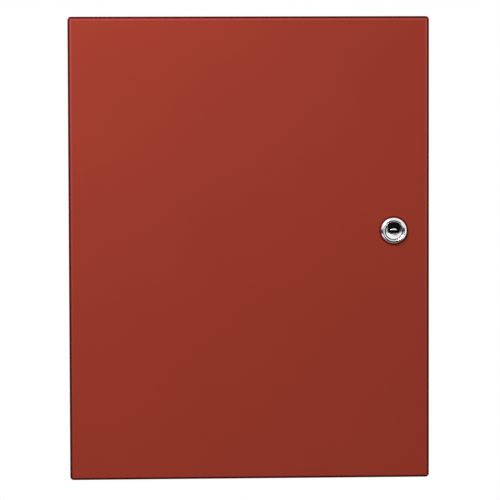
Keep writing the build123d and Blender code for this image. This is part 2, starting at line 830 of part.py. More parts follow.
with BuildPart() as button_switches:
    with BuildSketch(board_face):
        with Locations(*button_places.values()):
            Rectangle(button_body_size, button_body_size)
    extrude(amount=button_body_height)
    with BuildSketch(board_face.offset(button_body_height)):
        with Locations(*button_places.values()):
            RegularPolygon(button_well_radius, large_round_sides)
    extrude(amount=-(button_stem_depth + button_travel + button_end_gap), mode=Mode.SUBTRACT)
write(button_switches, "button_switches")

# Each cap stands clear of its switch by the travel and guides on a stem inside the well.
button_cap_base = button_body_height + button_travel + button_end_gap

for name, place in button_places.items():
    with BuildPart() as button:
        with BuildSketch(board_face.offset(button_cap_base)):
            with Locations(place):
                RegularPolygon(button_cap_radius, large_round_sides)
        extrude(amount=button_cap_height)
        chamfer(button.edges().group_by(Axis.Y)[0], button_bevel)
        with BuildSketch(board_face.offset(button_body_height - button_stem_depth)):
            with Locations(place):
                RegularPolygon(button_well_radius - button_play, large_round_sides)
        extrude(amount=button_cap_base - button_body_height + button_stem_depth)
    write(button, name)

for name, places in led_places.items():
    with BuildPart() as lamps:
        with BuildSketch(board_face):
            with Locations(*places):
                RegularPolygon(led_radius, small_round_sides)
        extrude(amount=led_height)
        chamfer(lamps.edges().group_by(Axis.Y)[0], led_tip)
    write(lamps, name)

# ---------------------------------------------------------------- other parts of the board

with BuildPart() as capacitors:
    with BuildSketch(board_face):
        with Locations(*capacitor_places):
            RegularPolygon(capacitor_radius, large_round_sides)
    extrude(amount=capacitor_height)
    chamfer(capacitors.edges().group_by(Axis.Y)[0], capacitor_bevel)
write(capacitors, "capacitors")

with BuildPart() as heat_sink:
    sink_width, sink_length, sink_height = heat_sink_size
    fin_pitch = (sink_length - heat_sink_fin) / (heat_sink_fin_count - 1)
    with BuildSketch(board_face):
        with Locations((heat_sink_place[0] + sink_width / 2 - heat_sink_base / 2, heat_sink_place[1])):
            Rectangle(heat_sink_base, sink_length)
        with Locations(heat_sink_place):
            with GridLocations(1, fin_pitch, 1, heat_sink_fin_count):
                Rectangle(sink_width, heat_sink_fin)
    extrude(amount=sink_height)
write(heat_sink, "heat_sink")

with BuildPart() as power_devices:
    device_depth, device_width, device_height = power_device_size
    device_across = heat_sink_place[0] + heat_sink_size[0] / 2 + device_depth / 2
    with BuildSketch(board_face):
        with Locations((device_across, heat_sink_place[1])):
            with GridLocations(1, power_device_pitch, 1, 2):
                Rectangle(device_depth, device_width)
    extrude(amount=device_height)
    chamfer(power_devices.edges().group_by(Axis.Y)[0].filter_by(Axis.Z), power_device_bevel)
write(power_devices, "power_devices")

# One fuse lies along X above the board; its clips hold the metal caps.
clip_length, clip_width, clip_height = fuse_clip_size
cap_shift = (fuse_length - fuse_cap_length) / 2

with BuildPart() as fuse_clip_pair:
    with Locations((-cap_shift, 0, 0), (cap_shift, 0, 0)):
        Box(clip_length, clip_width, clip_height, align=(Align.CENTER, Align.CENTER, Align.MIN))
    with Locations((0, 0, fuse_lift - fuse_radius)):
        Box(
            fuse_length,
            2 * fuse_radius,
            clip_height,
            align=(Align.CENTER, Align.CENTER, Align.MIN),
            mode=Mode.SUBTRACT,
        )

fuse_spots = on_board(fuse_places)

with BuildPart() as fuse_clips:
    with Locations(*fuse_spots):
        add(fuse_clip_pair.part)
write(fuse_clips, "fuse_clips")

# A section across one fuse, seen along the board's X axis.
fuse_section = Plane(origin=(0, 0, fuse_lift), x_dir=(0, 1, 0), z_dir=(1, 0, 0))

with BuildPart() as fuse_cap_pair:
    with BuildSketch(fuse_section.offset(cap_shift), fuse_section.offset(-cap_shift)):
        RegularPolygon(fuse_radius, small_round_sides, major_radius=False, rotation=180 / small_round_sides)
    extrude(amount=fuse_cap_length / 2, both=True)

with BuildPart() as fuse_tube:
    with BuildSketch(fuse_section):
        RegularPolygon(fuse_glass_radius, small_round_sides)
    extrude(amount=fuse_length / 2 - fuse_cap_length, both=True)

with BuildPart() as fuse_caps:
    with Locations(*fuse_spots):
        add(fuse_cap_pair.part)
write(fuse_caps, "fuse_caps")

with BuildPart() as fuse_tubes:
    with Locations(*fuse_spots):
        add(fuse_tube.part)
write(fuse_tubes, "fuse_tubes")

with BuildPart() as relays:
    with BuildSketch(board_face):
        with Locations(*relay_places):
            Rectangle(relay_size[0], relay_size[1])
    extrude(amount=relay_size[2])
    chamfer(relays.edges().group_by(Axis.Y)[0], relay_bevel)
write(relays, "relays")

with BuildPart() as buzzer:
    with BuildSketch(board_face):
        with Locations(buzzer_place):
            RegularPolygon(buzzer_radius, large_round_sides)
    extrude(amount=buzzer_height)
    chamfer(buzzer.edges().group_by(Axis.Y)[0], buzzer_bevel)
    with BuildSketch(board_face.offset(buzzer_height)):
        with Locations(buzzer_place):
            RegularPolygon(buzzer_port_radius, small_round_sides)
    extrude(amount=-buzzer_height / 2, mode=Mode.SUBTRACT)
write(buzzer, "buzzer")

with BuildPart() as chips:
    for offset, row, (width, height, thickness) in chip_layout:
        with BuildSketch(board_face):
            with Locations((panel_across + offset, row * board_height)):
                Rectangle(width, height)
        extrude(amount=thickness)
write(chips, "chips")

with BuildPart() as headers:
    with BuildSketch(board_face):
        with Locations(*header_places.values()):
            Rectangle(header_size[0], header_size[1])
    extrude(amount=header_size[2])
write(headers, "headers")

plug_face = board_face.offset(header_size[2])

with BuildPart() as wiring_plugs:
    with BuildSketch(plug_face):
        with Locations(*header_places.values()):
            Rectangle(plug_size[0], plug_size[1])
    extrude(amount=plug_size[2])
    chamfer(wiring_plugs.edges().group_by(Axis.Y)[0], plug_bevel)
write(wiring_plugs, "wiring_plugs")

# ---------------------------------------------------------------- standby batteries

battery_case_height = battery_height - battery_lid_height
battery_plan = Plane(origin=(0, battery_y, floor_z), x_dir=(1, 0, 0), z_dir=(0, 0, 1))

with BuildPart() as battery_cases:
    with BuildSketch(battery_plan):
        with Locations((battery_left_x, 0), (battery_right_x, 0)):
            Rectangle(battery_width - 2 * battery_lid_step, battery_depth - 2 * battery_lid_step)
    extrude(amount=battery_case_height)
    chamfer(battery_cases.edges().filter_by(Axis.Z), battery_bevel)
write(battery_cases, "battery_cases")

with BuildPart() as battery_lids:
    with BuildSketch(battery_plan.offset(battery_case_height)):
        with Locations((battery_left_x, 0), (battery_right_x, 0)):
            Rectangle(battery_width, battery_depth)
    extrude(amount=battery_lid_height)
    chamfer(battery_lids.edges().filter_by(Axis.Z), battery_bevel)
    chamfer(battery_lids.edges().group_by(Axis.Z)[-1], battery_bevel / 2)
    # Shallow well over the vents, behind the tabs.
    with BuildSketch(battery_plan.offset(battery_height)):
        with Locations((battery_left_x, vent_well_shift), (battery_right_x, vent_well_shift)):
            Rectangle(battery_width - 2 * vent_well_inset, vent_well_width)
    extrude(amount=-vent_well_depth, mode=Mode.SUBTRACT)
write(battery_lids, "battery_lids")

tab_reach = battery_width / 2 - tab_inset
tab_places = [
    (x + side * tab_reach, tab_y, battery_top_z)
    for x in (battery_left_x, battery_right_x)
    for side in (-1, 1)
]
receptacle_lift = tab_size[2] - receptacle_cover
receptacle_top_z = battery_top_z + receptacle_lift + receptacle_size[2]

with BuildPart() as battery_tabs:
    with Locations(*tab_places):
        Box(*tab_size, align=(Align.CENTER, Align.CENTER, Align.MIN))
write(battery_tabs, "battery_tabs")

with BuildPart() as tab_receptacles:
    for x, y, z in tab_places:
        with Locations((x, y, z + receptacle_lift)):
            Box(*receptacle_size, align=(Align.CENTER, Align.CENTER, Align.MIN))
    chamfer(tab_receptacles.edges().group_by(Axis.Z)[-1], receptacle_bevel)
    for x, y, z in tab_places:
        with Locations((x, y, z)):
            Box(*tab_size, align=(Align.CENTER, Align.CENTER, Align.MIN), mode=Mode.SUBTRACT)
write(tab_receptacles, "tab_receptacles")

# ---------------------------------------------------------------- mains transformer
# The coil stands out from the wall around the middle leg of a laminated core.

transformer_face = Plane(
    origin=(transformer_x, -box_sheet, transformer_z), x_dir=(1, 0, 0), z_dir=(0, -1, 0)
)
leg_width = core_width / 6                             # outer legs, yokes; the middle leg is double
window_rise = core_rise - 2 * leg_width
core_section = Plane(
    origin=(transformer_x, -box_sheet, transformer_z), x_dir=(1, 0, 0), z_dir=(0, 0, 1)
)

with BuildPart() as transformer_core:
    with BuildSketch(core_section):
        Rectangle(core_width, core_rise, align=(Align.CENTER, Align.MAX))
        with Locations(*[(side * 1.5 * leg_width, -core_rise / 2) for side in (-1, 1)]):
            Rectangle(leg_width, window_rise, mode=Mode.SUBTRACT)
    extrude(amount=core_stack / 2, both=True)
write(transformer_core, "transformer_core")

bobbin_face = transformer_face.offset(leg_width + bobbin_fit)
bobbin_rise = window_rise - 2 * bobbin_fit
middle_leg = (2 * leg_width + 2 * bobbin_fit, core_stack + 2 * bobbin_fit)

with BuildPart() as transformer_bobbin:
    with BuildSketch(bobbin_face):
        Rectangle(bobbin_width, bobbin_height)
        Rectangle(*middle_leg, mode=Mode.SUBTRACT)
    extrude(amount=bobbin_rise)
    with BuildSketch(bobbin_face.offset(bobbin_flange)):
        Rectangle(2 * bobbin_width, 2 * bobbin_height)
        Rectangle(middle_leg[0] + 2 * bobbin_flange, middle_leg[1] + 2 * bobbin_flange, mode=Mode.SUBTRACT)
    extrude(amount=bobbin_rise - 2 * bobbin_flange, mode=Mode.SUBTRACT)
write(transformer_bobbin, "transformer_bobbin")

with BuildPart() as transformer_winding:
    with BuildSketch(bobbin_face.offset(bobbin_flange)):
        RectangleRounded(bobbin_width - winding_step, bobbin_height - winding_step, winding_corner_radius)
        Rectangle(middle_leg[0] + 2 * bobbin_flange, middle_leg[1] + 2 * bobbin_flange, mode=Mode.SUBTRACT)
    extrude(amount=bobbin_rise - 2 * bobbin_flange)
write(transformer_winding, "transformer_winding")

bracket_screw_x = bracket_half + bracket_foot / 2

with BuildPart() as transformer_bracket:
    with BuildSketch(core_section):
        with BuildLine():
            bracket_line = Polyline(
                (-bracket_half - bracket_foot, 0),
                (-bracket_half - bracket_foot, -bracket_sheet),
                (-bracket_half, -bracket_sheet),
                (-bracket_half, -core_rise - bracket_sheet),
                (bracket_half, -core_rise - bracket_sheet),
                (bracket_half, -bracket_sheet),
                (bracket_half + bracket_foot, -bracket_sheet),
                (bracket_half + bracket_foot, 0),
                (bracket_half - bracket_sheet, 0),
                (bracket_half - bracket_sheet, -core_rise),
                (-bracket_half + bracket_sheet, -core_rise),
                (-bracket_half + bracket_sheet, 0),
                close=True,
            )
        make_face()
    extrude(amount=bracket_width / 2, both=True)
    chamfer(transformer_bracket.edges().filter_by(Axis.Z).group_by(Axis.Y)[0], bracket_sheet / 2)
    with BuildSketch(transformer_face):
        with Locations((-bracket_screw_x, 0), (bracket_screw_x, 0)):
            RegularPolygon(bracket_screw_radius + bracket_screw_play, small_round_sides)
    extrude(amount=bracket_sheet, mode=Mode.SUBTRACT)
write(transformer_bracket, "transformer_bracket")

with BuildPart() as bracket_screws:
    with BuildSketch(transformer_face.offset(bracket_sheet)):
        with Locations((-bracket_screw_x, 0), (bracket_screw_x, 0)):
            RegularPolygon(bracket_screw_head_radius, small_round_sides)
    extrude(amount=bracket_screw_head_height)
    chamfer(bracket_screws.edges().group_by(Axis.Y)[0], bracket_screw_head_height / 3)
    with BuildSketch(transformer_face):
        with Locations((-bracket_screw_x, 0), (bracket_screw_x, 0)):
            RegularPolygon(bracket_screw_radius, small_round_sides)
    extrude(amount=bracket_sheet)
write(bracket_screws, "bracket_screws")

# ---------------------------------------------------------------- mains terminal block

mains_face = Plane(origin=(mains_block_x, -box_sheet, mains_block_z), x_dir=(1, 0, 0), z_dir=(0, -1, 0))
mains_pitch = mains_way_width + mains_barrier
mains_way_places = [(way * mains_pitch, 0) for way in (-1, 0, 1)]

with BuildPart() as mains_block:
    with BuildSketch(mains_face):
        Rectangle(mains_width, mains_height)
    extrude(amount=mains_rise)
    with BuildSketch(mains_face.offset(mains_floor)):
        with Locations(*mains_way_places):
            Rectangle(mains_way_width, mains_height)
    extrude(amount=mains_rise, mode=Mode.SUBTRACT)
    for end in (0, -1):
        front_corner = mains_block.faces().sort_by(Axis.X)[end].edges().filter_by(Axis.Z).sort_by(Axis.Y)[0]
        chamfer(front_corner, mains_bevel)
write(mains_block, "mains_block")

with BuildPart() as mains_screws:
    with BuildSketch(mains_face.offset(mains_floor)):
        with Locations(*mains_way_places):
            RegularPolygon(mains_screw_radius, small_round_sides)
    extrude(amount=mains_screw_height)
    with BuildSketch(mains_face.offset(mains_floor + mains_screw_height)):
        with Locations(*mains_way_places):
            Rectangle(2 * mains_screw_radius, mains_slot_width)
    extrude(amount=-mains_slot_depth, mode=Mode.SUBTRACT)
write(mains_screws, "mains_screws")

# ---------------------------------------------------------------- bonding stud

stud_face = Plane(origin=(stud_x, -box_sheet, stud_z), x_dir=(1, 0, 0), z_dir=(0, -1, 0))

with BuildPart() as bonding_stud:
    with BuildSketch(stud_face):
        RegularPolygon(stud_radius, small_round_sides)
    extrude(amount=stud_height)
    chamfer(bonding_stud.edges().group_by(Axis.Y)[0], stud_radius / 4)
write(bonding_stud, "bonding_stud")

with BuildPart() as bonding_lug:
    with BuildSketch(stud_face):
        RegularPolygon(lug_radius, small_round_sides)
        Rectangle(lug_reach, 2 * lug_barrel_radius, align=(Align.MIN, Align.CENTER))
        RegularPolygon(stud_radius, small_round_sides, mode=Mode.SUBTRACT)
    extrude(amount=lug_sheet)
    barrel_end = (stud_x + lug_reach, -box_sheet - lug_barrel_radius, stud_z)
    with BuildSketch(Plane(origin=barrel_end, x_dir=(0, 1, 0), z_dir=(-1, 0, 0))):
        RegularPolygon(lug_barrel_radius, small_round_sides)
    extrude(amount=lug_reach / 2)
write(bonding_lug, "bonding_lug")

with BuildPart() as bonding_nut:
    with BuildSketch(stud_face.offset(lug_sheet)):
        RegularPolygon(stud_nut_flats / 2, 6, major_radius=False)
        RegularPolygon(stud_radius, small_round_sides, mode=Mode.SUBTRACT)
    extrude(amount=stud_nut_height)
write(bonding_nut, "bonding_nut")

# ---------------------------------------------------------------- wiring
# Every lead is a run of straight lengths and round bends between its two held ends.


def header_point(name, offset, depth=0.5):
    """A wire exit on the lower side of a plug, offset sideways from the plug's middle."""
    across, up = header_places[name]
    return (
        board_left + across + offset,
        board_front_y - header_size[2] - depth * plug_size[2],
        board_bottom_z + up - plug_size[1] / 2,
    )


def bend_radii(points, widest):
    """The bend at each inner point: the widest wanted, or what the shorter run beside it leaves room for."""
    radii = []
    for before, corner, after in zip(points, points[1:], points[2:]):
        run_in = Vector(*corner) - Vector(*before)
        run_out = Vector(*after) - Vector(*corner)
        half_turn = radians(run_in.get_angle(run_out) / 2)
        room = lead_bend_share * min(run_in.length, run_out.length)
        radii.append(min(widest, room / tan(half_turn)))
    return radii


def write_leads(name, *runs):
    """Sweeps one lead along each run of (points, widest bend) and writes them as one node."""
    with BuildPart() as leads:
        for points, widest in runs:
            with BuildLine() as route:
                FilletPolyline(*points, radius=bend_radii(points, widest))
            with BuildSketch(Plane(origin=route.line @ 0, z_dir=route.line % 0)):
                RegularPolygon(lead_radius, lead_sides)
            sweep(path=route.line)
    write(leads, name)


def battery_run(tab, offset):
    """From the battery plug down to one battery tab."""
    start = header_point("battery", offset)
    x, y, _ = tab_places[tab]
    drop = start[2] - receptacle_top_z
    turn_z = start[2] - lead_exit_share * drop
    landing_z = receptacle_top_z + lead_landing_share * drop
    return [start, (start[0], start[1], turn_z), (x, y, landing_z), (x, y, receptacle_top_z)], lead_bend


jumper_from, jumper_to = tab_places[1], tab_places[2]
jumper_top_z = receptacle_top_z + jumper_rise
jumper_run = (
    [
        (jumper_from[0], tab_y, receptacle_top_z),
        (jumper_from[0], tab_y, jumper_top_z),
        (jumper_to[0], tab_y, jumper_top_z),
        (jumper_to[0], tab_y, receptacle_top_z),
    ],
    lead_bend,
)

write_leads("battery_lead_red", battery_run(0, -plug_wire_offset))
write_leads("battery_leads_black", battery_run(3, plug_wire_offset), jumper_run)

coil_top_z = transformer_z + (bobbin_height - winding_step) / 2


def coil_exit(x, depth):
    """A point on the winding's upper side, at a share of its rise from the wall."""
    return (x, -box_sheet - leg_width - depth * window_rise, coil_top_z)


def secondary_run(x, offset):
    """From the winding up to the supply plug."""
    start = coil_exit(x, secondary_depth)
    end = header_point("supply", offset)
    rise = end[2] - start[2]
    return (
        [
            start,
            (start[0], start[1], start[2] + coil_exit_share * rise),
            (end[0], end[1], end[2] - coil_landing_share * rise),
            end,
        ],
        2 * lead_bend,
    )


mains_lead_y = -box_sheet - mains_floor - lead_radius
mains_entry_z = mains_block_z - mains_screw_radius


def primary_run(x, way):
    """From the winding up to one way of the mains block."""
    start = coil_exit(x, primary_depth)
    end_x = mains_block_x + mains_way_places[way][0]
    return (
        [
            start,
            (start[0], start[1], start[2] + lead_bend),
            (end_x, mains_lead_y, mains_block_z - mains_height / 2 - lead_bend / 2),
            (end_x, mains_lead_y, mains_entry_z),
        ],
        lead_bend,
    )


write_leads(
    "transformer_leads",
    secondary_run(transformer_x - 2 * coil_exit_pitch, -plug_wire_offset),
    secondary_run(transformer_x - coil_exit_pitch, plug_wire_offset),
    primary_run(transformer_x, 1),
    primary_run(transformer_x + coil_exit_pitch, 2),
)

ground_x = mains_block_x + mains_way_places[0][0]
lug_end = (stud_x + lug_reach, -box_sheet - lug_barrel_radius, stud_z)
write_leads(
    "ground_lead",
    (
        [
            (ground_x, mains_lead_y, mains_block_z + mains_screw_radius),
            (ground_x, mains_lead_y, stud_z),
            (lug_end[0] + lead_bend, lug_end[1], stud_z),
            lug_end,
        ],
        lead_bend,
    ),
)
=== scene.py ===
"""Dresses the fire alarm control panel: painted cabinet, cam lock, board, batteries and wiring.

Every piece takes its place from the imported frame, in metres.  X points right as seen from the
room, Y points from the room into the wall and Z points up.
"""

from math import cos, pi, radians, sin

import bmesh
import bpy
from mathutils import Matrix, Vector


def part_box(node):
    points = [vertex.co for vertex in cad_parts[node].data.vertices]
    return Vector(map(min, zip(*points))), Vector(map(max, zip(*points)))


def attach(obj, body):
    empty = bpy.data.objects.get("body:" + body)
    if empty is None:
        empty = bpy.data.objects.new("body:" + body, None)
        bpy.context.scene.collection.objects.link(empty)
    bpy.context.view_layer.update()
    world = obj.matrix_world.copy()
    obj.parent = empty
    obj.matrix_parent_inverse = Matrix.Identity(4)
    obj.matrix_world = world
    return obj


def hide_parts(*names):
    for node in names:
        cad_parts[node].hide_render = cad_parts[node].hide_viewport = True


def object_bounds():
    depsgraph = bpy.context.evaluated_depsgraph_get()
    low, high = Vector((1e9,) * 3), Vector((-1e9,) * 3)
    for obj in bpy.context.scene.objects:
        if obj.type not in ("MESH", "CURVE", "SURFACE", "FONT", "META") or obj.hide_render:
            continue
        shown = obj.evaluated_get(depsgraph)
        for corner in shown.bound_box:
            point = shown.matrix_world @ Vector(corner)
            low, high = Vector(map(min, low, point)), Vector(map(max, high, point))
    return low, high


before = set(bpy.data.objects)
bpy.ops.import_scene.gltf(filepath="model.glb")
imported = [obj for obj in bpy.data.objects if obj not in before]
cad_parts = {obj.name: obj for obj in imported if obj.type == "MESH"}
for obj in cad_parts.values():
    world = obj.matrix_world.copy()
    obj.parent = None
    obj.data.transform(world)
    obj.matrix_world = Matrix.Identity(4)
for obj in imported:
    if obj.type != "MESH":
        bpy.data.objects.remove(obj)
cad_box = [list(corner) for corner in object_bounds()]

MM = 0.001
ROOM = Vector((0, -1, 0))
WALL = Vector((0, 1, 0))
UP = Vector((0, 0, 1))
DOWN = Vector((0, 0, -1))
RIGHT = Vector((1, 0, 0))
LEFT = Vector((-1, 0, 0))
IN_PLACE = [Matrix.Identity(4)]

# ---- reading the frame


def solids(node):
    """The (lowest, highest) corners of each separate solid of a CAD node, left to right, then upwards."""
    bm = bmesh.new()
    bm.from_mesh(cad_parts[node].data)
    bmesh.ops.remove_doubles(bm, verts=bm.verts, dist=0.001 * MM)
    boxes, left = [], set(bm.verts)
    while left:
        reached = [left.pop()]
        for vert in reached:
            for edge in vert.link_edges:
                other = edge.other_vert(vert)
                if other in left:
                    left.remove(other)
                    reached.append(other)
        low = Vector(min(v.co[axis] for v in reached) for axis in range(3))
        high = Vector(max(v.co[axis] for v in reached) for axis in range(3))
        boxes.append((low, high))
    bm.free()
    return sorted(boxes, key=lambda box: (round(box[0].x, 4), round(box[0].z, 4)))


def middle(box):
    return (box[0] + box[1]) / 2


def size(box):
    return box[1] - box[0]


def front(box):
    """The middle of a box's face towards the room."""
    return Vector((middle(box).x, box[0].y, middle(box).z))


def back(box):
    """The middle of a box's face towards the wall."""
    return Vector((middle(box).x, box[1].y, middle(box).z))


# ---- shapes


def turned(profile, sides=32):
    """A round solid: a profile of (radius, height) points spun about the height axis."""
    bm = bmesh.new()
    verts = [bm.verts.new((radius, 0, height)) for radius, height in profile]
    edges = [bm.edges.new(ends) for ends in zip(verts, verts[1:])]
    bmesh.ops.spin(
        bm, geom=verts + edges, cent=(0, 0, 0), axis=(0, 0, 1), angle=2 * pi, steps=sides, use_merge=True
    )
    bmesh.ops.remove_doubles(bm, verts=bm.verts, dist=0.0001 * MM)
    bmesh.ops.recalc_face_normals(bm, faces=bm.faces)
    return bm


def rod(radius, length, sides, foot=0.0):
    """A plain round bar from the height foot upwards."""
    return turned([(0, foot), (radius, foot), (radius, foot + length), (0, foot + length)], sides)


def hoop(inner, outer, low, high, sides):
    """A round band between two radii and two heights."""
    return turned([(inner, low), (outer, low), (outer, high), (inner, high), (inner, low)], sides)


def arc(radius, height, bend, start, end, steps=6):
    """Profile points on a circle of radius bend, from one angle in degrees to another."""
    angles = [radians(start + (end - start) * step / steps) for step in range(steps + 1)]
    return [(radius + bend * cos(angle), height + bend * sin(angle)) for angle in angles]


def shoulder(radius, height, edge, steps=5):
    """Profile points that round the outer edge of a round top."""
    return arc(radius - edge, height - edge, edge, 0, 90, steps)


def soften(bm, edges, radius, segments):
    """Rounds some edges of a part."""
    bmesh.ops.bevel(
        bm, geom=edges, offset=radius, segments=segments, profile=0.5, affect="EDGES", material=-1
    )


def block(width, depth, height, bevel=0.0, segments=2):
    """A box standing on its origin, with its edges rounded."""
    bm = bmesh.new()
    bmesh.ops.create_cube(bm, size=1)
    bmesh.ops.scale(bm, vec=(width, depth, height), verts=bm.verts)
    bmesh.ops.translate(bm, vec=(0, 0, height / 2), verts=bm.verts)
    if bevel:
        soften(bm, bm.edges[:], bevel, segments)
    return bm


def trim(bm, point, outward):
    """Cuts away what lies beyond a plane and closes the cut."""
    everything = bm.verts[:] + bm.edges[:] + bm.faces[:]
    bmesh.ops.bisect_plane(bm, geom=everything, plane_co=point, plane_no=outward, clear_outer=True)
    bmesh.ops.holes_fill(bm, edges=[edge for edge in bm.edges if edge.is_boundary])


def at(point, out=ROOM, across=RIGHT):
    """The place of a part that stands on point: its height runs along out, its width along across."""
    turn = Matrix((across, out.cross(across), out)).transposed()
    return Matrix.Translation(point) @ turn.to_4x4()


def mesh_of(bm, name):
    """Turns a part into a mesh and frees the part."""
    mesh = bpy.data.meshes.new(name)
    bm.to_mesh(mesh)
    bm.free()
    return mesh


def set_up(name, data):
    """An object in the scene that shows a mesh, curve, lamp or camera."""
    made = bpy.data.objects.new(name, data)
    bpy.context.scene.collection.objects.link(made)
    return made


def evaluated(made):
    """An object as its modifiers or curve settings leave it."""
    return made.evaluated_get(bpy.context.evaluated_depsgraph_get())


def gather(*parts):
    """One bmesh from pairs of a part and its places."""
    whole = bmesh.new()
    for part, places in parts:
        mesh = mesh_of(part, "part")
        for place in places:
            copy = mesh.copy()
            copy.transform(place)
            whole.from_mesh(copy)
            bpy.data.meshes.remove(copy)
        bpy.data.meshes.remove(mesh)
    return whole


def cut(body, cutter):
    """The body with the cutter taken out of it."""
    stock, tool = (set_up("cut", mesh_of(bm, "cut")) for bm in (body, cutter))
    knife = stock.modifiers.new("Knife", "BOOLEAN")
    knife.operation = "DIFFERENCE"
    knife.solver = "EXACT"
    knife.use_self = True
    knife.object = tool
    shown = evaluated(stock)
    result = bmesh.new()
    result.from_mesh(shown.to_mesh())
    shown.to_mesh_clear()
    for made in (stock, tool):
        bpy.data.meshes.remove(made.data)
    return result


def piece(name, bm, slot, stands_for=None, body="cabinet", finish=None, sharp=35):
    """Makes a finished piece that rides on a body and takes its finish from a material slot."""
    mesh = mesh_of(bm, name)
    mesh.shade_smooth()
    mesh.set_sharp_from_angle(angle=radians(sharp))
    mesh.materials.append(finish or finishes[slot])
    made = set_up(name, mesh)
    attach(made, body)
    if stands_for:
        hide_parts(stands_for)


# ---- shader groups


def new_group(name, inputs, outputs):
    """An empty shader node group with named sockets."""
    group = bpy.data.node_groups.new(name, "ShaderNodeTree")
    for label, kind, value in inputs:
        socket = group.interface.new_socket(label, in_out="INPUT", socket_type=f"NodeSocket{kind}")
        socket.default_value = value
    for label, kind in outputs:
        group.interface.new_socket(label, in_out="OUTPUT", socket_type=f"NodeSocket{kind}")
    return group, group.nodes.new("NodeGroupInput").outputs, group.nodes.new("NodeGroupOutput").inputs


def wire(tree, source, target):
    """Links a socket to a target, or writes a plain value into it."""
    if isinstance(source, bpy.types.NodeSocket):
        tree.links.new(source, target)
    else:
        target.default_value = source


def noise(tree, vector, scale, detail):
    node = tree.nodes.new("ShaderNodeTexNoise")
    wire(tree, vector, node.inputs["Vector"])
    wire(tree, scale, node.inputs["Scale"])
    node.inputs["Detail"].default_value = detail
    return node.outputs["Fac"]


def remap(tree, value, low, high, to_low, to_high):
    """Carries a value from the range low..high to another range, and holds it within that one."""
    node = tree.nodes.new("ShaderNodeMapRange")
    labels = ("Value", "From Min", "From Max", "To Min", "To Max")
    for label, source in zip(labels, (value, low, high, to_low, to_high)):
        wire(tree, source, node.inputs[label])
    return node.outputs["Result"]


def maths(tree, operation, first, second=0.0):
    node = tree.nodes.new("ShaderNodeMath")
    node.operation = operation
    wire(tree, first, node.inputs[0])
    wire(tree, second, node.inputs[1])
    return node.outputs["Value"]


def mix(tree, factor, first, second, blend="MIX"):
    """Mixes two colours."""
    node = tree.nodes.new("ShaderNodeMix")
    node.data_type = "RGBA"
    node.blend_type = blend
    for index, source in ((0, factor), (6, first), (7, second)):
        if isinstance(source, tuple):
            source = (*source, 1.0)
        wire(tree, source, node.inputs[index])
    return node.outputs[2]


def object_point(tree, stretch=None):
    """Object coordinates, stretched where a pattern runs longer one way."""
    point = tree.nodes.new("ShaderNodeTexCoord").outputs["Object"]
    if stretch is None:
        return point
    mapping = tree.nodes.new("ShaderNodeMapping")
    wire(tree, point, mapping.inputs["Vector"])
    wire(tree, stretch, mapping.inputs["Scale"])
    return mapping.outputs["Vector"]


def coordinates(tree):
    """Object coordinates as three sockets: across, depth and height."""
    split = tree.nodes.new("ShaderNodeSeparateXYZ")
    wire(tree, object_point(tree), split.inputs["Vector"])
    return split.outputs


def build_drift():
    """Slow change of a colour over a surface: Spread is the share by which it lightens and darkens."""
    tree, given, out = new_group(
        "Colour drift",
        [("Color", "Color", (1, 1, 1, 1)), ("Patch Scale", "Float", 30.0), ("Spread", "Float", 0.05)],
        [("Color", "Color")],
    )
    cloud = noise(tree, object_point(tree), given["Patch Scale"], 4.0)
    darkest = maths(tree, "SUBTRACT", 1.0, given["Spread"])
    lightest = maths(tree, "ADD", 1.0, given["Spread"])
    shade = remap(tree, cloud, 0.3, 0.7, darkest, lightest)
    wire(tree, mix(tree, 1.0, given["Color"], shade, "MULTIPLY"), out["Color"])
    return tree


def build_grain():
    """Fine unevenness of a surface: a bump of Depth metres, and a roughness that wanders with it."""
    tree, given, out = new_group(
        "Surface grain",
        [("Grain Scale", "Float", 600.0), ("Stretch", "Vector", (1, 1, 1)), ("Depth", "Float", 0.02 * MM)]
        + [("Roughness", "Float", 0.4), ("Wander", "Float", 0.05)],
        [("Normal", "Vector"), ("Roughness", "Float")],
    )
    point = object_point(tree, given["Stretch"])
    fine = noise(tree, point, given["Grain Scale"], 3.0)
    bump = tree.nodes.new("ShaderNodeBump")
    wire(tree, fine, bump.inputs["Height"])
    wire(tree, given["Depth"], bump.inputs["Distance"])
    wire(tree, bump.outputs["Normal"], out["Normal"])
    broad = noise(tree, point, maths(tree, "MULTIPLY", given["Grain Scale"], 0.1), 3.0)
    smoother = maths(tree, "SUBTRACT", given["Roughness"], given["Wander"])
    rougher = maths(tree, "ADD", given["Roughness"], given["Wander"])
    wire(tree, remap(tree, broad, 0.3, 0.7, smoother, rougher), out["Roughness"])
    return tree


drift_group = build_drift()
grain_group = build_grain()


def use_group(tree, group, **values):
    """Sets a node group into a material and returns its outputs."""
    node = tree.nodes.new("ShaderNodeGroup")
    node.node_tree = group
    for label, value in values.items():
        wire(tree, value, node.inputs[label.replace("_", " ")])
    return node.outputs


def shader_of(tree):
    return tree.nodes["Principled BSDF"]


def new_finish(name, colour, roughness, patch=(30.0, 0.05), grain=(600.0, 0.02), extra=()):
    """A material whose colour drifts and whose surface has a grain.

    patch holds a scale and a spread, grain a scale and a depth in millimetres, and extra the
    wander and the stretch of the grain besides values for the shader's own sockets.
    """
    extra = {"wander": 0.05, "stretch": (1, 1, 1), **dict(extra)}
    uneven = {"Wander": extra.pop("wander"), "Stretch": extra.pop("stretch")}
    material = bpy.data.materials.new(name)
    material.use_nodes = True
    tree = material.node_tree
    shader = shader_of(tree)
    drifted = use_group(tree, drift_group, Color=(*colour, 1.0), Patch_Scale=patch[0], Spread=patch[1])
    wire(tree, drifted["Color"], shader.inputs["Base Color"])
    grained = use_group(
        tree, grain_group, Grain_Scale=grain[0], Depth=grain[1] * MM, Roughness=roughness, **uneven
    )
    for label in ("Normal", "Roughness"):
        wire(tree, grained[label], shader.inputs[label])
    for label, value in extra.items():
        shader.inputs[label].default_value = value
    return material


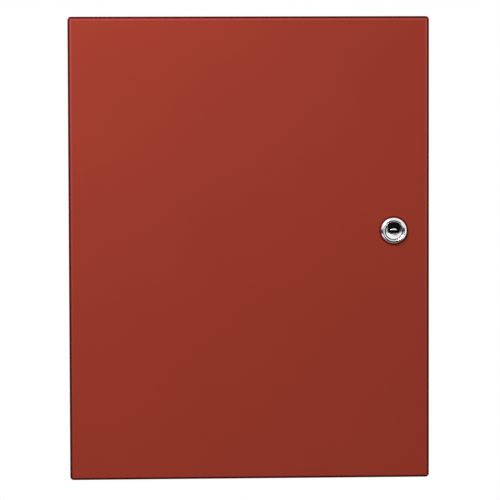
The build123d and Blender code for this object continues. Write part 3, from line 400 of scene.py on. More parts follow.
def base_colour(material):
    """The tree, what feeds the base colour, and that socket, for a finish that needs more than drift."""
    target = shader_of(material.node_tree).inputs["Base Color"]
    return material.node_tree, target.links[0].from_socket, target


# ---- finishes

door_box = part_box("door")
door_face_y = door_box[0].y
head_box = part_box("lock_housing")
head_radius = size(head_box).x / 2
lock_point = Vector((middle(head_box).x, door_face_y, middle(head_box).z))

red_paint = (0.305, 0.0365, 0.0195)
# Colours of painted light on the door: a painted highlight inside the folded edge, and painted shade on
# the bend and round the lock.
painted_fold_highlight = (0.62, 0.10, 0.09)
painted_shade_red = (0.05, 0.001, 0.001)
powder_coat = (0.45, (9, 0.02), (520, 0.02), {"Specular IOR Level": 0.12, "wander": 0.02})


def door_paint():
    """Red powder coat with painted shade on the folded edge and round the lock, and a painted highlight
    line inside the bend that is stronger towards the top.
    """
    material = new_finish("door_paint", red_paint, *powder_coat)
    tree, colour, target = base_colour(material)
    low, high = door_box
    across, depth, height = coordinates(tree)
    from_side = maths(tree, "SUBTRACT", high.x, maths(tree, "ABSOLUTE", across))
    from_end = maths(tree, "SUBTRACT", high.z, maths(tree, "ABSOLUTE", height))
    inset = maths(tree, "MINIMUM", from_side, from_end)
    on_front = remap(tree, depth, low.y + 1.2 * MM, low.y + 1.8 * MM, 1, 0)
    # A painted highlight line just inside the folded edge, stronger towards the top where the light falls.
    line = remap(tree, inset, 2.6 * MM, 3.4 * MM, 1, 0)
    line = maths(tree, "MULTIPLY", line, remap(tree, height, low.z, high.z, 0.02, 0.45))
    colour = mix(tree, maths(tree, "MULTIPLY", on_front, line), colour, painted_fold_highlight)
    # Painted shade on the rounded folded edge of the door.
    fold_shade_mask = remap(tree, inset, 1.5 * MM, 2.2 * MM, 0.94, 0)
    # A painted shadow ring on the door round the foot of the lock head.
    from_lock = tree.nodes.new("ShaderNodeVectorMath")
    from_lock.operation = "DISTANCE"
    wire(tree, object_point(tree), from_lock.inputs[0])
    from_lock.inputs[1].default_value = lock_point
    gap = from_lock.outputs["Value"]
    seat = remap(tree, gap, head_radius + 0.6 * MM, head_radius + 1.2 * MM, 0.9, 0)
    # Painted shade of the folded edge and of the lock ring together, both darkening towards the same deep
    # red.
    dark = maths(tree, "MULTIPLY", on_front, maths(tree, "MAXIMUM", fold_shade_mask, seat))
    wire(tree, mix(tree, dark, colour, painted_shade_red), target)
    rough = shader_of(tree).inputs["Roughness"]
    wire(tree, maths(tree, "MAXIMUM", rough.links[0].from_socket, dark), rough)
    return material


def laminate():
    """Green solder mask over copper, which shows as slightly lighter fields."""
    material = new_finish("board_laminate", (0.012, 0.10, 0.035), 0.3, (25, 0.12), (900, 0.01))
    tree, colour, target = base_colour(material)
    field = remap(tree, noise(tree, object_point(tree), 45, 0), 0.48, 0.54, 0, 0.12)
    wire(tree, mix(tree, field, colour, (0.03, 0.17, 0.06)), target)
    return material


def display_window():
    """A grey-green liquid crystal with rows of blank character cells."""
    material = new_finish("display_window", (0.22, 0.30, 0.12), 0.12, (20, 0.06), (300, 0.004))
    tree, colour, target = base_colour(material)
    low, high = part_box("lcd_glass")
    across, _, height = coordinates(tree)
    shown = 0.45
    for place, start, end, count, filled in (
        (across, low.x, high.x, 20, 0.82),
        (height, low.z, high.z, 4, 0.80),
    ):
        run = remap(tree, place, start + 3 * MM, end - 2 * MM, 0, float(count))
        in_cell = maths(tree, "LESS_THAN", maths(tree, "FRACT", run), filled)
        from_middle = maths(tree, "ABSOLUTE", maths(tree, "SUBTRACT", run, count / 2))
        in_row = maths(tree, "LESS_THAN", from_middle, count / 2)
        shown = maths(tree, "MULTIPLY", shown, maths(tree, "MULTIPLY", in_cell, in_row))
    wire(tree, mix(tree, shown, colour, (0.11, 0.16, 0.06)), target)
    return material


def winding_tape():
    """Yellow tape, wound round the coil in overlapping turns."""
    material = new_finish("winding_tape", (0.62, 0.42, 0.08), 0.35, (40, 0.08), (400, 0.02))
    tree, colour, target = base_colour(material)
    tape_width = 11 * MM
    turn = maths(tree, "FRACT", maths(tree, "DIVIDE", coordinates(tree)["Z"], tape_width))
    lap = remap(tree, turn, 0, 0.12, 0.45, 0)
    wire(tree, mix(tree, lap, colour, (0.30, 0.17, 0.03)), target)
    return material


metal = {"Metallic": 1}
smooth_metal = {"Metallic": 1, "wander": 0.03}
brushed_metal = {"Metallic": 1, "stretch": (1, 1, 0.06)}
stacked_sheets = {"Metallic": 0.8, "stretch": (0.3, 0.3, 30)}
clear = {"Transmission Weight": 0.96, "IOR": 1.47, "wander": 0.02}
tinted = {"Transmission Weight": 0.3}
lens_surface = (0.15, (90, 0.1), (300, 0.004), tinted)
sleeving = (0.42, (80, 0.08), (500, 0.015))

# Colour, roughness, patch, grain and extra of each plain finish, as new_finish takes them.
plain_finishes = {
    "enclosure_paint": (red_paint, *powder_coat),
    "zinc_plated_steel": ((0.62, 0.62, 0.60), 0.36, (40, 0.04), (600, 0.02), smooth_metal),
    "lock_chrome": ((0.86, 0.86, 0.87), 0.09, (60, 0.02), (200, 0.002), smooth_metal),
    "tinned_brass": ((0.74, 0.68, 0.50), 0.28, (120, 0.1), (600, 0.02), metal),
    "black_rubber": ((0.018, 0.018, 0.019), 0.75, (60, 0.2), (900, 0.04)),
    "terminal_plastic": ((0.03, 0.16, 0.06), 0.45, (60, 0.08), (700, 0.015)),
    "pale_nylon": ((0.72, 0.69, 0.60), 0.5, (50, 0.05), (800, 0.015)),
    "black_plastic": ((0.022, 0.022, 0.024), 0.48, (60, 0.15), (900, 0.02)),
    "grey_plastic": ((0.42, 0.43, 0.44), 0.4, (60, 0.05), (900, 0.015)),
    "relay_plastic": ((0.05, 0.13, 0.34), 0.35, (60, 0.07), (700, 0.012)),
    "battery_plastic": ((0.05, 0.052, 0.056), 0.5, (14, 0.15), (650, 0.04)),
    "green_lens": ((0.05, 0.42, 0.08), *lens_surface),
    "red_lens": ((0.55, 0.02, 0.02), *lens_surface),
    "amber_lens": ((0.75, 0.34, 0.02), *lens_surface),
    "bare_aluminium": ((0.66, 0.67, 0.68), 0.34, (50, 0.06), (900, 0.02), brushed_metal),
    "fuse_glass": ((0.9, 0.94, 0.92), 0.05, (90, 0.02), (200, 0.002), clear),
    "red_insulation": ((0.5, 0.02, 0.02), *sleeving),
    "black_insulation": ((0.02, 0.02, 0.021), 0.42, (80, 0.15), (500, 0.015)),
    "green_insulation": ((0.03, 0.26, 0.06), *sleeving),
    "core_steel": ((0.17, 0.165, 0.16), 0.5, (60, 0.2), (60, 0.25), stacked_sheets),
}
finishes = {name: new_finish(name, *values) for name, values in plain_finishes.items()}
finishes["board_laminate"] = laminate()
finishes["display_window"] = display_window()
finishes["winding_tape"] = winding_tape()

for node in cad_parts.values():
    for held in node.material_slots:
        held.material = finishes[held.material.name.split(".")[0]]
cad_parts["door"].material_slots[0].material = door_paint()

# ---- cam lock

plug_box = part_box("lock_plug")
head_height = door_face_y - head_box[0].y
barrel_length = head_box[1].y - door_face_y
barrel_radius = 9.4 * MM
barrel_flat = 7.9 * MM
recess_radius = 8.3 * MM
recess_floor = 0.5 * MM
bore_radius = 6.48 * MM


def lock_head():
    """Chrome ring with a rolled outer edge, and the flat-sided threaded barrel behind the door."""
    lip, edge = 0.35 * MM, 0.2 * MM
    roll = head_radius - recess_radius - lip
    ring = [(recess_radius, recess_floor), (recess_radius, head_height - lip)]
    ring += arc(head_radius - roll, head_height - roll, roll, 84, 8, 14)
    ring += [(head_radius, edge), (head_radius - edge, 0), (bore_radius, 0), (bore_radius, recess_floor)]
    pitch, groove = 1.0 * MM, 0.45 * MM
    root = barrel_radius - groove
    barrel = [(bore_radius, edge), (barrel_radius, edge)]
    for turn in range(int((barrel_length - pitch) / pitch)):
        height = -0.4 * MM - turn * pitch
        barrel += [(barrel_radius, height), (root, height - pitch / 2)]
    barrel += [(root, -barrel_length), (bore_radius, -barrel_length)]
    barrel = turned([*barrel, barrel[0]], 64)
    for side in (-1, 1):
        trim(barrel, (side * barrel_flat, 0, 0), (side, 0, 0))
    return gather((turned([*ring, ring[0]], 96), [at(lock_point)]), (barrel, [at(lock_point)]))


piece("lock_head", lock_head(), "lock_chrome", "lock_housing", "door", sharp=32)

plug_radius = 6.4 * MM
plug_rim = door_face_y - plug_box[0].y
plug_face_radius = size(plug_box).x / 2
plug_length = plug_box[1].y - door_face_y
rim_width = 0.9 * MM
dish_depth = 1.15 * MM
keyway_width, keyway_height, keyway_depth = 9.8 * MM, 3.2 * MM, 9.0 * MM
keyway_point = lock_point + DOWN * 0.5 * MM
keyway_bottom = keyway_point + ROOM * (plug_rim - keyway_depth)
liner = 0.2 * MM
arch_radius = 3.5 * MM
shutter_radius = 3.3 * MM
shutter_swell = 0.75 * MM
shutter_point = keyway_point + UP * 0.2 * MM + ROOM * (plug_rim - dish_depth - shutter_swell)
arched = Matrix.Diagonal((1, 0.73, 1, 1))


def keyway_cutters():
    """The level keyway, the ward below its left part, and the arch above it for the shutter."""
    width, height, reach = keyway_width, keyway_height, keyway_depth + dish_depth
    yield gather((block(width, height, reach, 0.2 * MM), [at(keyway_bottom)]))
    ward = block(width / 4, height / 2, reach, 0.1 * MM)
    yield gather((ward, [at(keyway_bottom + LEFT * width / 5 + DOWN * height / 2)]))
    arch = rod(arch_radius, 2 * dish_depth, 48)
    arch = gather((arch, [at(shutter_point + WALL * 0.3 * MM) @ arched]))
    trim(arch, keyway_point, DOWN)
    yield arch


def lock_core():
    """The plug: a polished dish in a rim, its shank and tail, cut by a flat keyway with a side ward."""
    dish_radius, round_off = plug_face_radius - rim_width, rim_width / 2
    foot, step = recess_floor + 0.1 * MM, 0.2 * MM
    shares = (0, 0.2, 0.4, 0.6, 0.8, 0.92, 1.0)
    profile = [(dish_radius * share, plug_rim - dish_depth * (1 - share**2)) for share in shares]
    profile += arc(plug_face_radius - round_off, plug_rim - round_off, round_off, 90, 0, 4)
    profile += [(plug_face_radius, foot), (plug_radius, foot)]
    profile += [(plug_radius, -barrel_length - step), (0, -barrel_length - step)]
    plug = gather((turned(profile, 96), [at(lock_point)]))
    for cutter in keyway_cutters():
        plug = cut(plug, cutter)
    tail_side = 8 * MM
    tail = block(tail_side, tail_side, plug_length - barrel_length - step, 0.3 * MM)
    return gather((plug, IN_PLACE), (tail, [at(lock_point + WALL * plug_length)]))


piece("lock_face", lock_core(), "lock_chrome", "lock_plug", "lock_core", sharp=32)


def lock_liner():
    """Near-black walls inside the keyway below the polished dish, standing in as painted shade."""
    width, height = keyway_width, keyway_height
    outer = block(width - liner, height - liner, keyway_depth - dish_depth - 0.8 * MM)
    inner = block(width - 3 * liner, height - 3 * liner, keyway_depth)
    inner_bottom = keyway_bottom + ROOM * 2 * liner
    return cut(gather((outer, [at(keyway_bottom)])), gather((inner, [at(inner_bottom)])))


# A near-black finish that paints the shade inside the keyway.
keyway_shade_finish = new_finish("keyway_painted_shade", (0.012, 0.011, 0.010), 0.6, (200, 0.2), extra={"Metallic": 0.5})
piece("lock_keyway", lock_liner(), "lock_chrome", body="lock_core", finish=keyway_shade_finish)


def lock_shutter():
    """The domed dust shutter that fills the arch above the keyway."""
    quarter = [radians(10 * step) for step in range(10)]
    swell = [(shutter_radius * cos(angle), shutter_swell * sin(angle)) for angle in quarter]
    dome = gather((turned([(0, 0), *swell], 48), [at(shutter_point) @ arched]))
    trim(dome, keyway_point + UP * 1.0 * MM, DOWN)
    return dome


piece("lock_shutter", lock_shutter(), "lock_chrome", body="lock_core")

# ---- screws


def screw(head_radius, head_height, shank_radius, shank_length, cross=False):
    """A pan-head screw whose head stands on the origin, driven by a slot or a cross."""
    point = 0.4 * shank_radius
    profile = [(0, -shank_length), (0.75 * shank_radius, -shank_length)]
    profile += [(shank_radius, point - shank_length), (shank_radius, 0)]
    for share, rise in ((1, 0), (1, 0.4), (0.93, 0.68), (0.75, 0.88), (0.4, 1), (0, 1)):
        profile.append((share * head_radius, rise * head_height))
    reach, sunk, ways = (1.15, 0.35, (RIGHT, WALL)) if cross else (2.4, 0.5, (RIGHT,))
    blade = block(reach * head_radius, 0.26 * head_radius, head_height)
    slots = [at(UP * sunk * head_height, UP, across) for across in ways]
    return cut(turned(profile, 28), gather((blade, slots)))


def screws_for(node, shank_radius, head_height, cross=False, body="cabinet", out=ROOM):
    """Replaces a node of plain screws, each in its own place."""
    boxes = solids(node)
    length = size(boxes[0]).y - head_height
    seat = back if out == ROOM else front
    master = screw(size(boxes[0]).x / 2, head_height, shank_radius, max(length, 0.2 * MM), cross)
    places = [at(seat(box) + out * length, out) for box in boxes]
    piece(node + "_turned", gather((master, places)), "zinc_plated_steel", node, body)


screws_for("board_screws", 1.5 * MM, 2.0 * MM, cross=True)
screws_for("bracket_screws", 2.0 * MM, 2.4 * MM, cross=True)
screws_for("mains_screws", 2.0 * MM, 2.4 * MM)
screws_for("terminal_screws", 1.2 * MM, 2.2 * MM)
screws_for("cam_screw", 2.5 * MM, 3.0 * MM, cross=True, body="lock_core", out=WALL)


def bonding_stud():
    """Threaded stud with a chamfered end."""
    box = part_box("bonding_stud")
    radius, height, pitch = size(box).x / 2, size(box).y, 0.8 * MM
    profile = [(0, 0), (radius, 0)]
    for turn in range(int((height - 2 * MM) / pitch)):
        profile += [(radius, 1 * MM + turn * pitch), (0.84 * radius, 1 * MM + (turn + 0.5) * pitch)]
    profile += [(0.7 * radius, height), (0, height)]
    return gather((turned(profile, 24), [at(back(box))]))


piece("bonding_stud_threaded", bonding_stud(), "zinc_plated_steel", "bonding_stud")


def bumpers():
    """Domed rubber bumpers on the lip of the box."""
    boxes = solids("door_bumpers")
    radius, height = size(boxes[0]).x / 2, size(boxes[0]).y
    dome = arc(0.62 * radius, 0.35 * height, 0.38 * radius, 0, 60)
    profile = [(0, 0), (radius, 0), (radius, 0.35 * height), *((r, min(h, height)) for r, h in dome)]
    profile += [(0.5 * radius, height), (0, height)]
    return gather((turned(profile), [at(back(box)) for box in boxes]))


piece("door_bumpers_moulded", bumpers(), "black_rubber", "door_bumpers")

# ---- board parts

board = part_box("control_board")
board_front_y = board[0].y


def lens(node):
    """Domed lamps with a flange at the foot."""
    boxes = solids(node)
    radius, height = size(boxes[0]).x / 2, size(boxes[0]).y
    bulb = 0.92 * radius
    profile = [(0, 0), (radius, 0), (radius, 1.0 * MM), (bulb, 1.2 * MM), *shoulder(bulb, height, bulb, 8)]
    return gather((turned(profile), [at(back(box)) for box in boxes]))


for name, node, colour in (
    ("power_lamp", "power_led", "green_lens"),
    ("alarm_lamp", "alarm_led", "red_lens"),
    ("trouble_lamps", "trouble_leds", "amber_lens"),
):
    piece(name, lens(node), colour, node)


def button_cap(node):
    """A round cap with a finger hollow, on its stem."""
    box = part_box(node)
    cap, edge, dip = 5.0 * MM, 0.6 * MM, 0.5 * MM
    radius, stem = size(box).x / 2, size(box).y - cap
    profile = [(0, -stem), (0.77 * radius, -stem), (0.77 * radius, 0), (radius, 0)]
    profile += shoulder(radius, cap, edge)
    profile += [(0.72 * radius * share, cap - dip * (1 - share**2)) for share in (1.0, 0.8, 0.6, 0.3, 0)]
    return gather((turned(profile, 48), [at(back(box) + ROOM * stem)]))


for name in ("acknowledge_button", "silence_button", "reset_button", "drill_button"):
    piece(name + "_cap", button_cap(name), "grey_plastic", name, name)

def capacitors():
    """Sleeves waisted over the seal and rolled over the edge of each can, and the cans' scored ends."""
    boxes = solids("capacitors")
    radius, height = size(boxes[0]).x / 2, size(boxes[0]).y
    waist, edge, sunk = 0.93 * radius, 0.9 * MM, 0.4 * MM
    sleeve = [(0, 0), (waist, 0), (radius, 0.6 * MM), (radius, 2.4 * MM), (waist, 3.4 * MM)]
    sleeve += [(radius, 4.4 * MM), *shoulder(radius, height, edge, 4)]
    sleeve += [(0.82 * radius, height), (0.82 * radius, height - sunk), (0, height - sunk)]
    sleeves = gather((turned(sleeve, 48), [at(back(box)) for box in boxes]))
    piece("capacitor_sleeves", sleeves, "black_plastic", "capacitors")
    bar = block(1.25 * radius, 0.4 * MM, 0.4 * MM)
    score = gather((bar, [at(UP * 0.15 * MM, UP, across) for across in (RIGHT, WALL)]))
    top = cut(rod(0.8 * radius, 0.3 * MM, 40), score)
    tops = gather((top, [at(front(box) + WALL * 0.35 * MM) for box in boxes]))
    piece("capacitor_tops", tops, "bare_aluminium")


capacitors()


def buzzer():
    """The buzzer's shell with its sound hole."""
    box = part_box("buzzer")
    radius, height, edge = size(box).x / 2, size(box).y, 1.2 * MM
    mouth, hole = height - 0.5 * MM, height - 3 * MM
    profile = [(0, 0), (0.97 * radius, 0), (radius, 0.5 * MM)]
    profile += shoulder(radius, height, edge)
    profile += [(0.34 * radius, height), (0.30 * radius, mouth), (0.15 * radius, mouth)]
    profile += [(0.15 * radius, hole), (0, hole)]
    return gather((turned(profile, 64), [at(back(box))]))


piece("buzzer_shell", buzzer(), "black_plastic", "buzzer")


def lying(boxes):
    """The places of turned parts that lie along X, starting at their left ends."""
    return [at(Vector((box[0].x, middle(box).y, middle(box).z)), RIGHT, UP) for box in boxes]


def fuse_parts():
    """Glass tubes, their metal caps and the wire inside."""
    tubes, caps = solids("fuse_tubes"), solids("fuse_caps")
    tube_radius, tube_length = size(tubes[0]).z / 2, size(tubes[0]).x
    cap_radius, cap_length = size(caps[0]).z / 2, size(caps[0]).x
    edge = 0.4 * MM
    cap = arc(cap_radius - edge, edge, edge, -90, 0, 3)
    cap += shoulder(cap_radius, cap_length, edge, 3)
    glass = gather((hoop(0.8 * tube_radius, tube_radius, 0, tube_length, 24), lying(tubes)))
    ends = gather((turned([(0, 0), *cap, (0, cap_length)], 24), lying(caps)))
    strands = gather((rod(0.15 * MM, tube_length, 8), lying(tubes)))
    piece("fuse_glasses", glass, "fuse_glass", "fuse_tubes")
    piece("fuse_ends", ends, "tinned_brass", "fuse_caps")
    piece("fuse_strands", strands, "tinned_brass")


fuse_parts()


def chip_legs():
    """Bent legs along the sides of each chip: on all four sides of the square one."""
    pitch, leg = 1.27 * MM, 0.5 * MM
    places = []
    for box in solids("chips"):
        extent, centre = size(box), middle(box)
        sides = [(RIGHT, UP, extent.x, extent.z), (RIGHT, DOWN, extent.x, extent.z)]
        if abs(extent.x - extent.z) < 4 * MM:
            sides += [(UP, RIGHT, extent.z, extent.x), (UP, LEFT, extent.z, extent.x)]
        for along, outward, length, reach in sides:
            count = int((length - 1.5 * MM) / pitch)
            for index in range(count):
                step = (index - (count - 1) / 2) * pitch
                foot = centre + along * step + outward * (reach / 2)
                foot.y = board_front_y
                places.append((foot, outward))
    shoulders, shins = (
        [at(foot + ROOM * rise + out * reach, ROOM, out.cross(ROOM)) for foot, out in places]
        for rise, reach in ((1.0 * MM, 0.35 * MM), (0, 0.75 * MM))
    )
    return gather((block(leg, 0.9 * MM, 0.25 * MM), shoulders), (block(leg, 0.25 * MM, 1.2 * MM), shins))


piece("chip_legs", chip_legs(), "tinned_brass")


def on_board(x, z):
    """A point on the front of the board."""
    return Vector((x, board_front_y, z))


def strip(points, width, thickness):
    """Flat bars that follow points across the board's front."""
    parts = []
    for start, end in zip(points, points[1:]):
        along = (end - start).normalized()
        bar = block(width, thickness, (end - start).length + 0.4 * width)
        parts.append((bar, [at(start - along * 0.2 * width, along, along.cross(ROOM))]))
    return gather(*parts)


def fan(block_box, lane, column, end, count=6, pitch=1.5 * MM):
    """Nested copper tracks from a terminal block's ways along level lanes, then along upright columns.

    lane is the height of the lane nearest the block, column the side place of the nearest column.
    """
    low, high = block_box
    rightwards = column > middle(block_box).x
    chamfer = 1.2 * MM
    routes = []
    for way in range(count):
        rank = count - 1 - way if rightwards else way
        x = low.x + (high.x - low.x) * (way + 0.5) / count
        level = lane - pitch * rank
        upright = column + (1 if rightwards else -1) * pitch * (count - 1 - rank)
        bend = chamfer if upright > x else -chamfer
        route = [(x, low.z + 1 * MM), (x, level + chamfer), (x + bend, level)]
        route += [(upright - bend, level), (upright, level - chamfer), (upright, end + pitch * rank)]
        routes.append([on_board(*point) for point in route])
    return routes


# Each fan's terminal block, lane, column and end of the columns, in millimetres.
track_fans = ((0, 161, -73, 149), (1, 161, -21, 133), (2, 161, 3, 133), (3, 161, 104, 86))
relay_bus = 118 * MM
relay_column = 62 * MM
button_line, button_ends = 46 * MM, 27 * MM
display_line, display_bend, display_ends = 87 * MM, 81 * MM, 78 * MM


def track_routes():
    """Every copper track on the front of the board."""
    blocks, routes = solids("terminal_blocks"), []
    for number, *run in track_fans:
        routes += fan(blocks[number], *(value * MM for value in run))
    for box in solids("relays"):
        for step in range(3):
            height = box[0].z + (2.5 + 3.5 * step) * MM
            routes.append([on_board(box[1].x - 1 * MM, height), on_board(relay_bus, height)])
        height, chamfer = middle(box).z + 4.5 * MM, 3 * MM
        bend = relay_column - (box[0].z - 17 * MM) * 0.12
        route = [(box[0].x + 1 * MM, height), (bend, height), (bend - chamfer, height - chamfer)]
        routes.append([on_board(*point) for point in (*route, (bend - chamfer, 33 * MM))])
    for switch in solids("button_switches"):
        x = middle(switch).x
        for side in (-1, 1):
            start = on_board(x + side * 3 * MM, button_line)
            end = on_board(0.28 * x + side * 1.2 * MM, button_ends)
            elbow = on_board(start.x, (42 if side * x < 0 else 40.5) * MM - 0.12 * abs(x))
            routes.append([start, elbow, on_board(end.x, elbow.z - 1.5 * MM), end])
    for step in range(10):
        x = (-22 + 2.6 * step) * MM
        route = [(x, display_line), (x, display_bend), (x + 3 * MM, display_ends)]
        routes.append([on_board(*point) for point in route])
    for header, side, order in zip(solids("headers"), (RIGHT, LEFT), ((3, 2, 1, 0), (0, 1, 2, 3))):
        for step, level in enumerate(order):
            foot = on_board(header[0].x + (6 + 4 * step) * MM, header[1].z)
            top = foot + UP * (3 + 1.3 * level) * MM
            turn = top + side * 14 * MM
            routes.append([foot, top, turn, turn + (UP + side) * 3 * MM])
    return routes


track_finish = new_finish("copper_under_mask", (0.03, 0.20, 0.07), 0.3, (60, 0.1))
tracks = track_routes()
strips = [(strip(route, 0.55 * MM, 0.08 * MM), IN_PLACE) for route in tracks]
piece("tracks", gather(*strips), "board_laminate", finish=track_finish)
via = hoop(0.3 * MM, 0.7 * MM, 0, 0.07 * MM, 12)
piece("vias", gather((via, [at(route[-1]) for route in tracks])), "tinned_brass")


def printed_outlines():
    """White printed frames round the parts, without lettering."""
    line = 0.22 * MM
    edge = board[1] - Vector((1, 1, 1)) * 0.5 * MM
    parts = []
    for node in ("chips", "relays", "terminal_blocks", "headers", "button_switches"):
        gap = (2.2 if node == "chips" else 1.3) * MM
        for low, high in solids(node):
            left, lower = low.x - gap, low.z - gap
            right, upper = min(high.x + gap, edge.x), min(high.z + gap, edge.z)
            corners = ((left, lower), (right, lower), (right, upper), (left, upper), (left, lower))
            parts.append((strip([on_board(*corner) for corner in corners], line, 0.05 * MM), IN_PLACE))
    for node in ("capacitors", "buzzer", "alarm_led", "power_led", "trouble_leds"):
        boxes = solids(node)
        radius = size(boxes[0]).x / 2 + 0.7 * MM
        ring = hoop(radius, radius + line, 0, 0.03 * MM, 40)
        parts.append((ring, [at(on_board(middle(box).x, middle(box).z)) for box in boxes]))
    return gather(*parts)


print_finish = new_finish("board_print", (0.75, 0.75, 0.72), 0.5, (60, 0.06))
piece("printed_outlines", printed_outlines(), "pale_nylon", finish=print_finish)

# Fields of small parts in millimetres: first place, steps, counts, and how the rows turn in order.
small_fields = (
    ((20, 137), (6.5, 4.5), (6, 3), (RIGHT, UP, RIGHT)),
    ((-80, 8), (5, 4.6), (3, 5), (RIGHT,)),
    ((57, 88), (0, 5.5), (1, 7), (UP,)),
)
lamp_resistor_line = 66.5 * MM


def small_places():
    """Where the small surface-mounted parts sit: (centre, direction along the part)."""
    places = []
    chips = solids("chips")
    for low, high in chips:
        level_with = [far for near, far in chips if near.z < high.z and far.z > low.z]
        crowded = any(0 < low.x - far.x < 8 * MM for far in level_with)
        for step in () if crowded else (-1, 0, 1):
            places.append((on_board(low.x - 4.6 * MM, (low.z + high.z) / 2 + step * 2.4 * MM), RIGHT))
    for box in solids("trouble_leds") + solids("alarm_led") + solids("power_led"):
        places.append((on_board(middle(box).x, lamp_resistor_line), RIGHT))
    for (x, z), (step_x, step_z), (columns, rows), turns in small_fields:
        for column in range(columns):
            for row in range(rows):
                spot = on_board((x + step_x * column) * MM, (z + step_z * row) * MM)
                places.append((spot, turns[row % len(turns)]))
    return places


def small_parts():
    """Chip resistors and capacitors: bodies in turn black and tan, with tinned ends."""
    places = small_places()
    bodies = [at(point, ROOM, along) for point, along in places]
    reach = 0.85 * MM
    ends = [at(point + along * side, ROOM, along) for point, along in places for side in (-reach, reach)]
    resistor, capacitor, end = (
        block(width * MM, depth * MM, height * MM, 0.08 * MM, 1)
        for width, depth, height in ((1.9, 1.2, 0.55), (1.9, 1.2, 0.8), (0.45, 1.3, 0.85))
    )
    ceramic = new_finish("ceramic", (0.36, 0.24, 0.14), 0.45, (90, 0.1))
    piece("chip_resistors", gather((resistor, bodies[::2])), "black_plastic")
    piece("chip_capacitors", gather((capacitor, bodies[1::2])), "pale_nylon", finish=ceramic)
    piece("chip_ends", gather((end, ends)), "tinned_brass")


small_parts()


def diodes():
    """One diode beside each relay: a black body with a pale band, on bent wires."""
    spots = [on_board(73.5 * MM, middle(box).z) + ROOM * 1.6 * MM for box in solids("relays")]
    radius, half, edge = 1.35 * MM, 2.6 * MM, 0.3 * MM
    wire_radius, wire_reach = 0.35 * MM, 4.2 * MM
    profile = [(0, -half), (radius - edge, -half), (radius, edge - half)]
    profile += [(radius, half - edge), (radius - edge, half), (0, half)]
    band = hoop(1.3 * MM, 1.38 * MM, 1.2 * MM, 1.9 * MM, 20)
    level = rod(wire_radius, 2 * wire_reach, 8, -wire_reach)
    foot = rod(wire_radius, 1.75 * MM, 8)
    lie = [at(spot, UP, RIGHT) for spot in spots]
    feet = [at(on_board(spot.x, spot.z + side * wire_reach)) for spot in spots for side in (-1, 1)]
    piece("diode_bodies", gather((turned(profile, 20), lie)), "black_plastic")
    piece("diode_bands", gather((band, lie)), "pale_nylon")
    piece("diode_wires", gather((level, lie), (foot, feet)), "tinned_brass")


diodes()

# Where the little capacitors stand on the board, in millimetres.
little_places = ((-68, 57), (-68, 66), (66, 86), (52, 132), (-78, 100), (-78, 122))


def little_cans():
    """Small capacitors standing on the board: dark sleeves round bright tops."""
    places = [at(on_board(x * MM, z * MM)) for x, z in little_places]
    radius, tall, edge, sunk = 2.6 * MM, 8 * MM, 0.5 * MM, 0.3 * MM
    sleeve = [(0, 0), (0.92 * radius, 0), (radius, edge), (radius, tall - edge), (0.9 * radius, tall)]
    sleeve += [(0.78 * radius, tall), (0.78 * radius, tall - sunk), (0, tall - sunk)]
    low, high = tall - 0.35 * MM, tall - 0.1 * MM
    top = turned([(0, low), (0.76 * radius, low), (0.74 * radius, high), (0, high)], 28)
    piece("little_sleeves", gather((turned(sleeve, 28), places)), "black_plastic")
    piece("little_tops", gather((top, places)), "bare_aluminium")


little_cans()


def setting_switches():
    """An eight-way slide switch for settings, with a slider in each way."""
    centre = on_board(60 * MM, 62 * MM)
    ways, pitch, throw = 8, 2.54 * MM, 1.5 * MM
    rows = [(way - (ways - 1) / 2) * pitch for way in range(ways)]
    body = block(9.6 * MM, 21.8 * MM, 4.2 * MM, 0.3 * MM)
    for row in rows:
        well = block(5.2 * MM, 1.5 * MM, 2 * MM)
        body = cut(body, gather((well, [at(Vector((0, row, 3.2 * MM)), UP)])))
    sliders = [
        at(centre + UP * row + RIGHT * (throw if way % 3 else -throw) + ROOM * 3.3 * MM)
        for way, row in enumerate(rows)
    ]
    slider = block(1.6 * MM, 1.2 * MM, 1.3 * MM, 0.15 * MM)
    piece("setting_switches", gather((body, [at(centre)])), "relay_plastic")
    piece("setting_sliders", gather((slider, sliders)), "pale_nylon")


setting_switches()


def crystal():
    """Oval metal can of the clock crystal, with its rolled foot."""
    parts = []
    for width, deep, tall in ((11.0, 4.6, 0.5), (10.2, 3.8, 3.4)):
        can = block(width * MM, deep * MM, tall * MM)
        uprights = [edge for edge in can.edges if edge.verts[0].co.xy == edge.verts[1].co.xy]
        soften(can, uprights, 0.48 * deep * MM, 8)
        parts.append((can, [at(on_board(-0.7 * MM, 34 * MM))]))
    return gather(*parts)


piece("crystal", crystal(), "zinc_plated_steel")


def display_pins():
    """Soldered pins that join the display to the control board."""
    low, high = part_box("lcd_board")
    pad = turned([(0, 0), (0.8 * MM, 0), (0.75 * MM, 0.15 * MM), (0.35 * MM, 0.8 * MM), (0, 0.9 * MM)], 12)
    pin = rod(0.32 * MM, low.y - board_front_y, 8)
    row = [Vector((low.x + (6 + 2.54 * step) * MM, low.y, high.z - 1.6 * MM)) for step in range(16)]
    return gather((pad, [at(place) for place in row]), (pin, [at(place, WALL) for place in row]))


piece("display_pins", display_pins(), "tinned_brass")


# The screws that clamp the power devices to the heat sink.
heads = [Vector((box[1].x, box[0].y + 3.4 * MM, middle(box).z)) for box in solids("power_devices")]
clamp = screw(2.6 * MM, 1.6 * MM, 1.4 * MM, 3 * MM, cross=True)
clamps = gather((clamp, [at(head, RIGHT, UP) for head in heads]))
piece("device_screws", clamps, "zinc_plated_steel")

# The moulded dot at the first leg of each chip.
inwards = Vector((2, 0, 2)) * MM
dots = gather((rod(0.6 * MM, 0.03 * MM, 16), [at(box[0] + inwards) for box in solids("chips")]))
mark_finish = new_finish("chip_mark", (0.07, 0.07, 0.075), 0.3)
piece("chip_marks", dots, "black_plastic", finish=mark_finish)

# ---- leads

lead_radius = 1.1 * MM


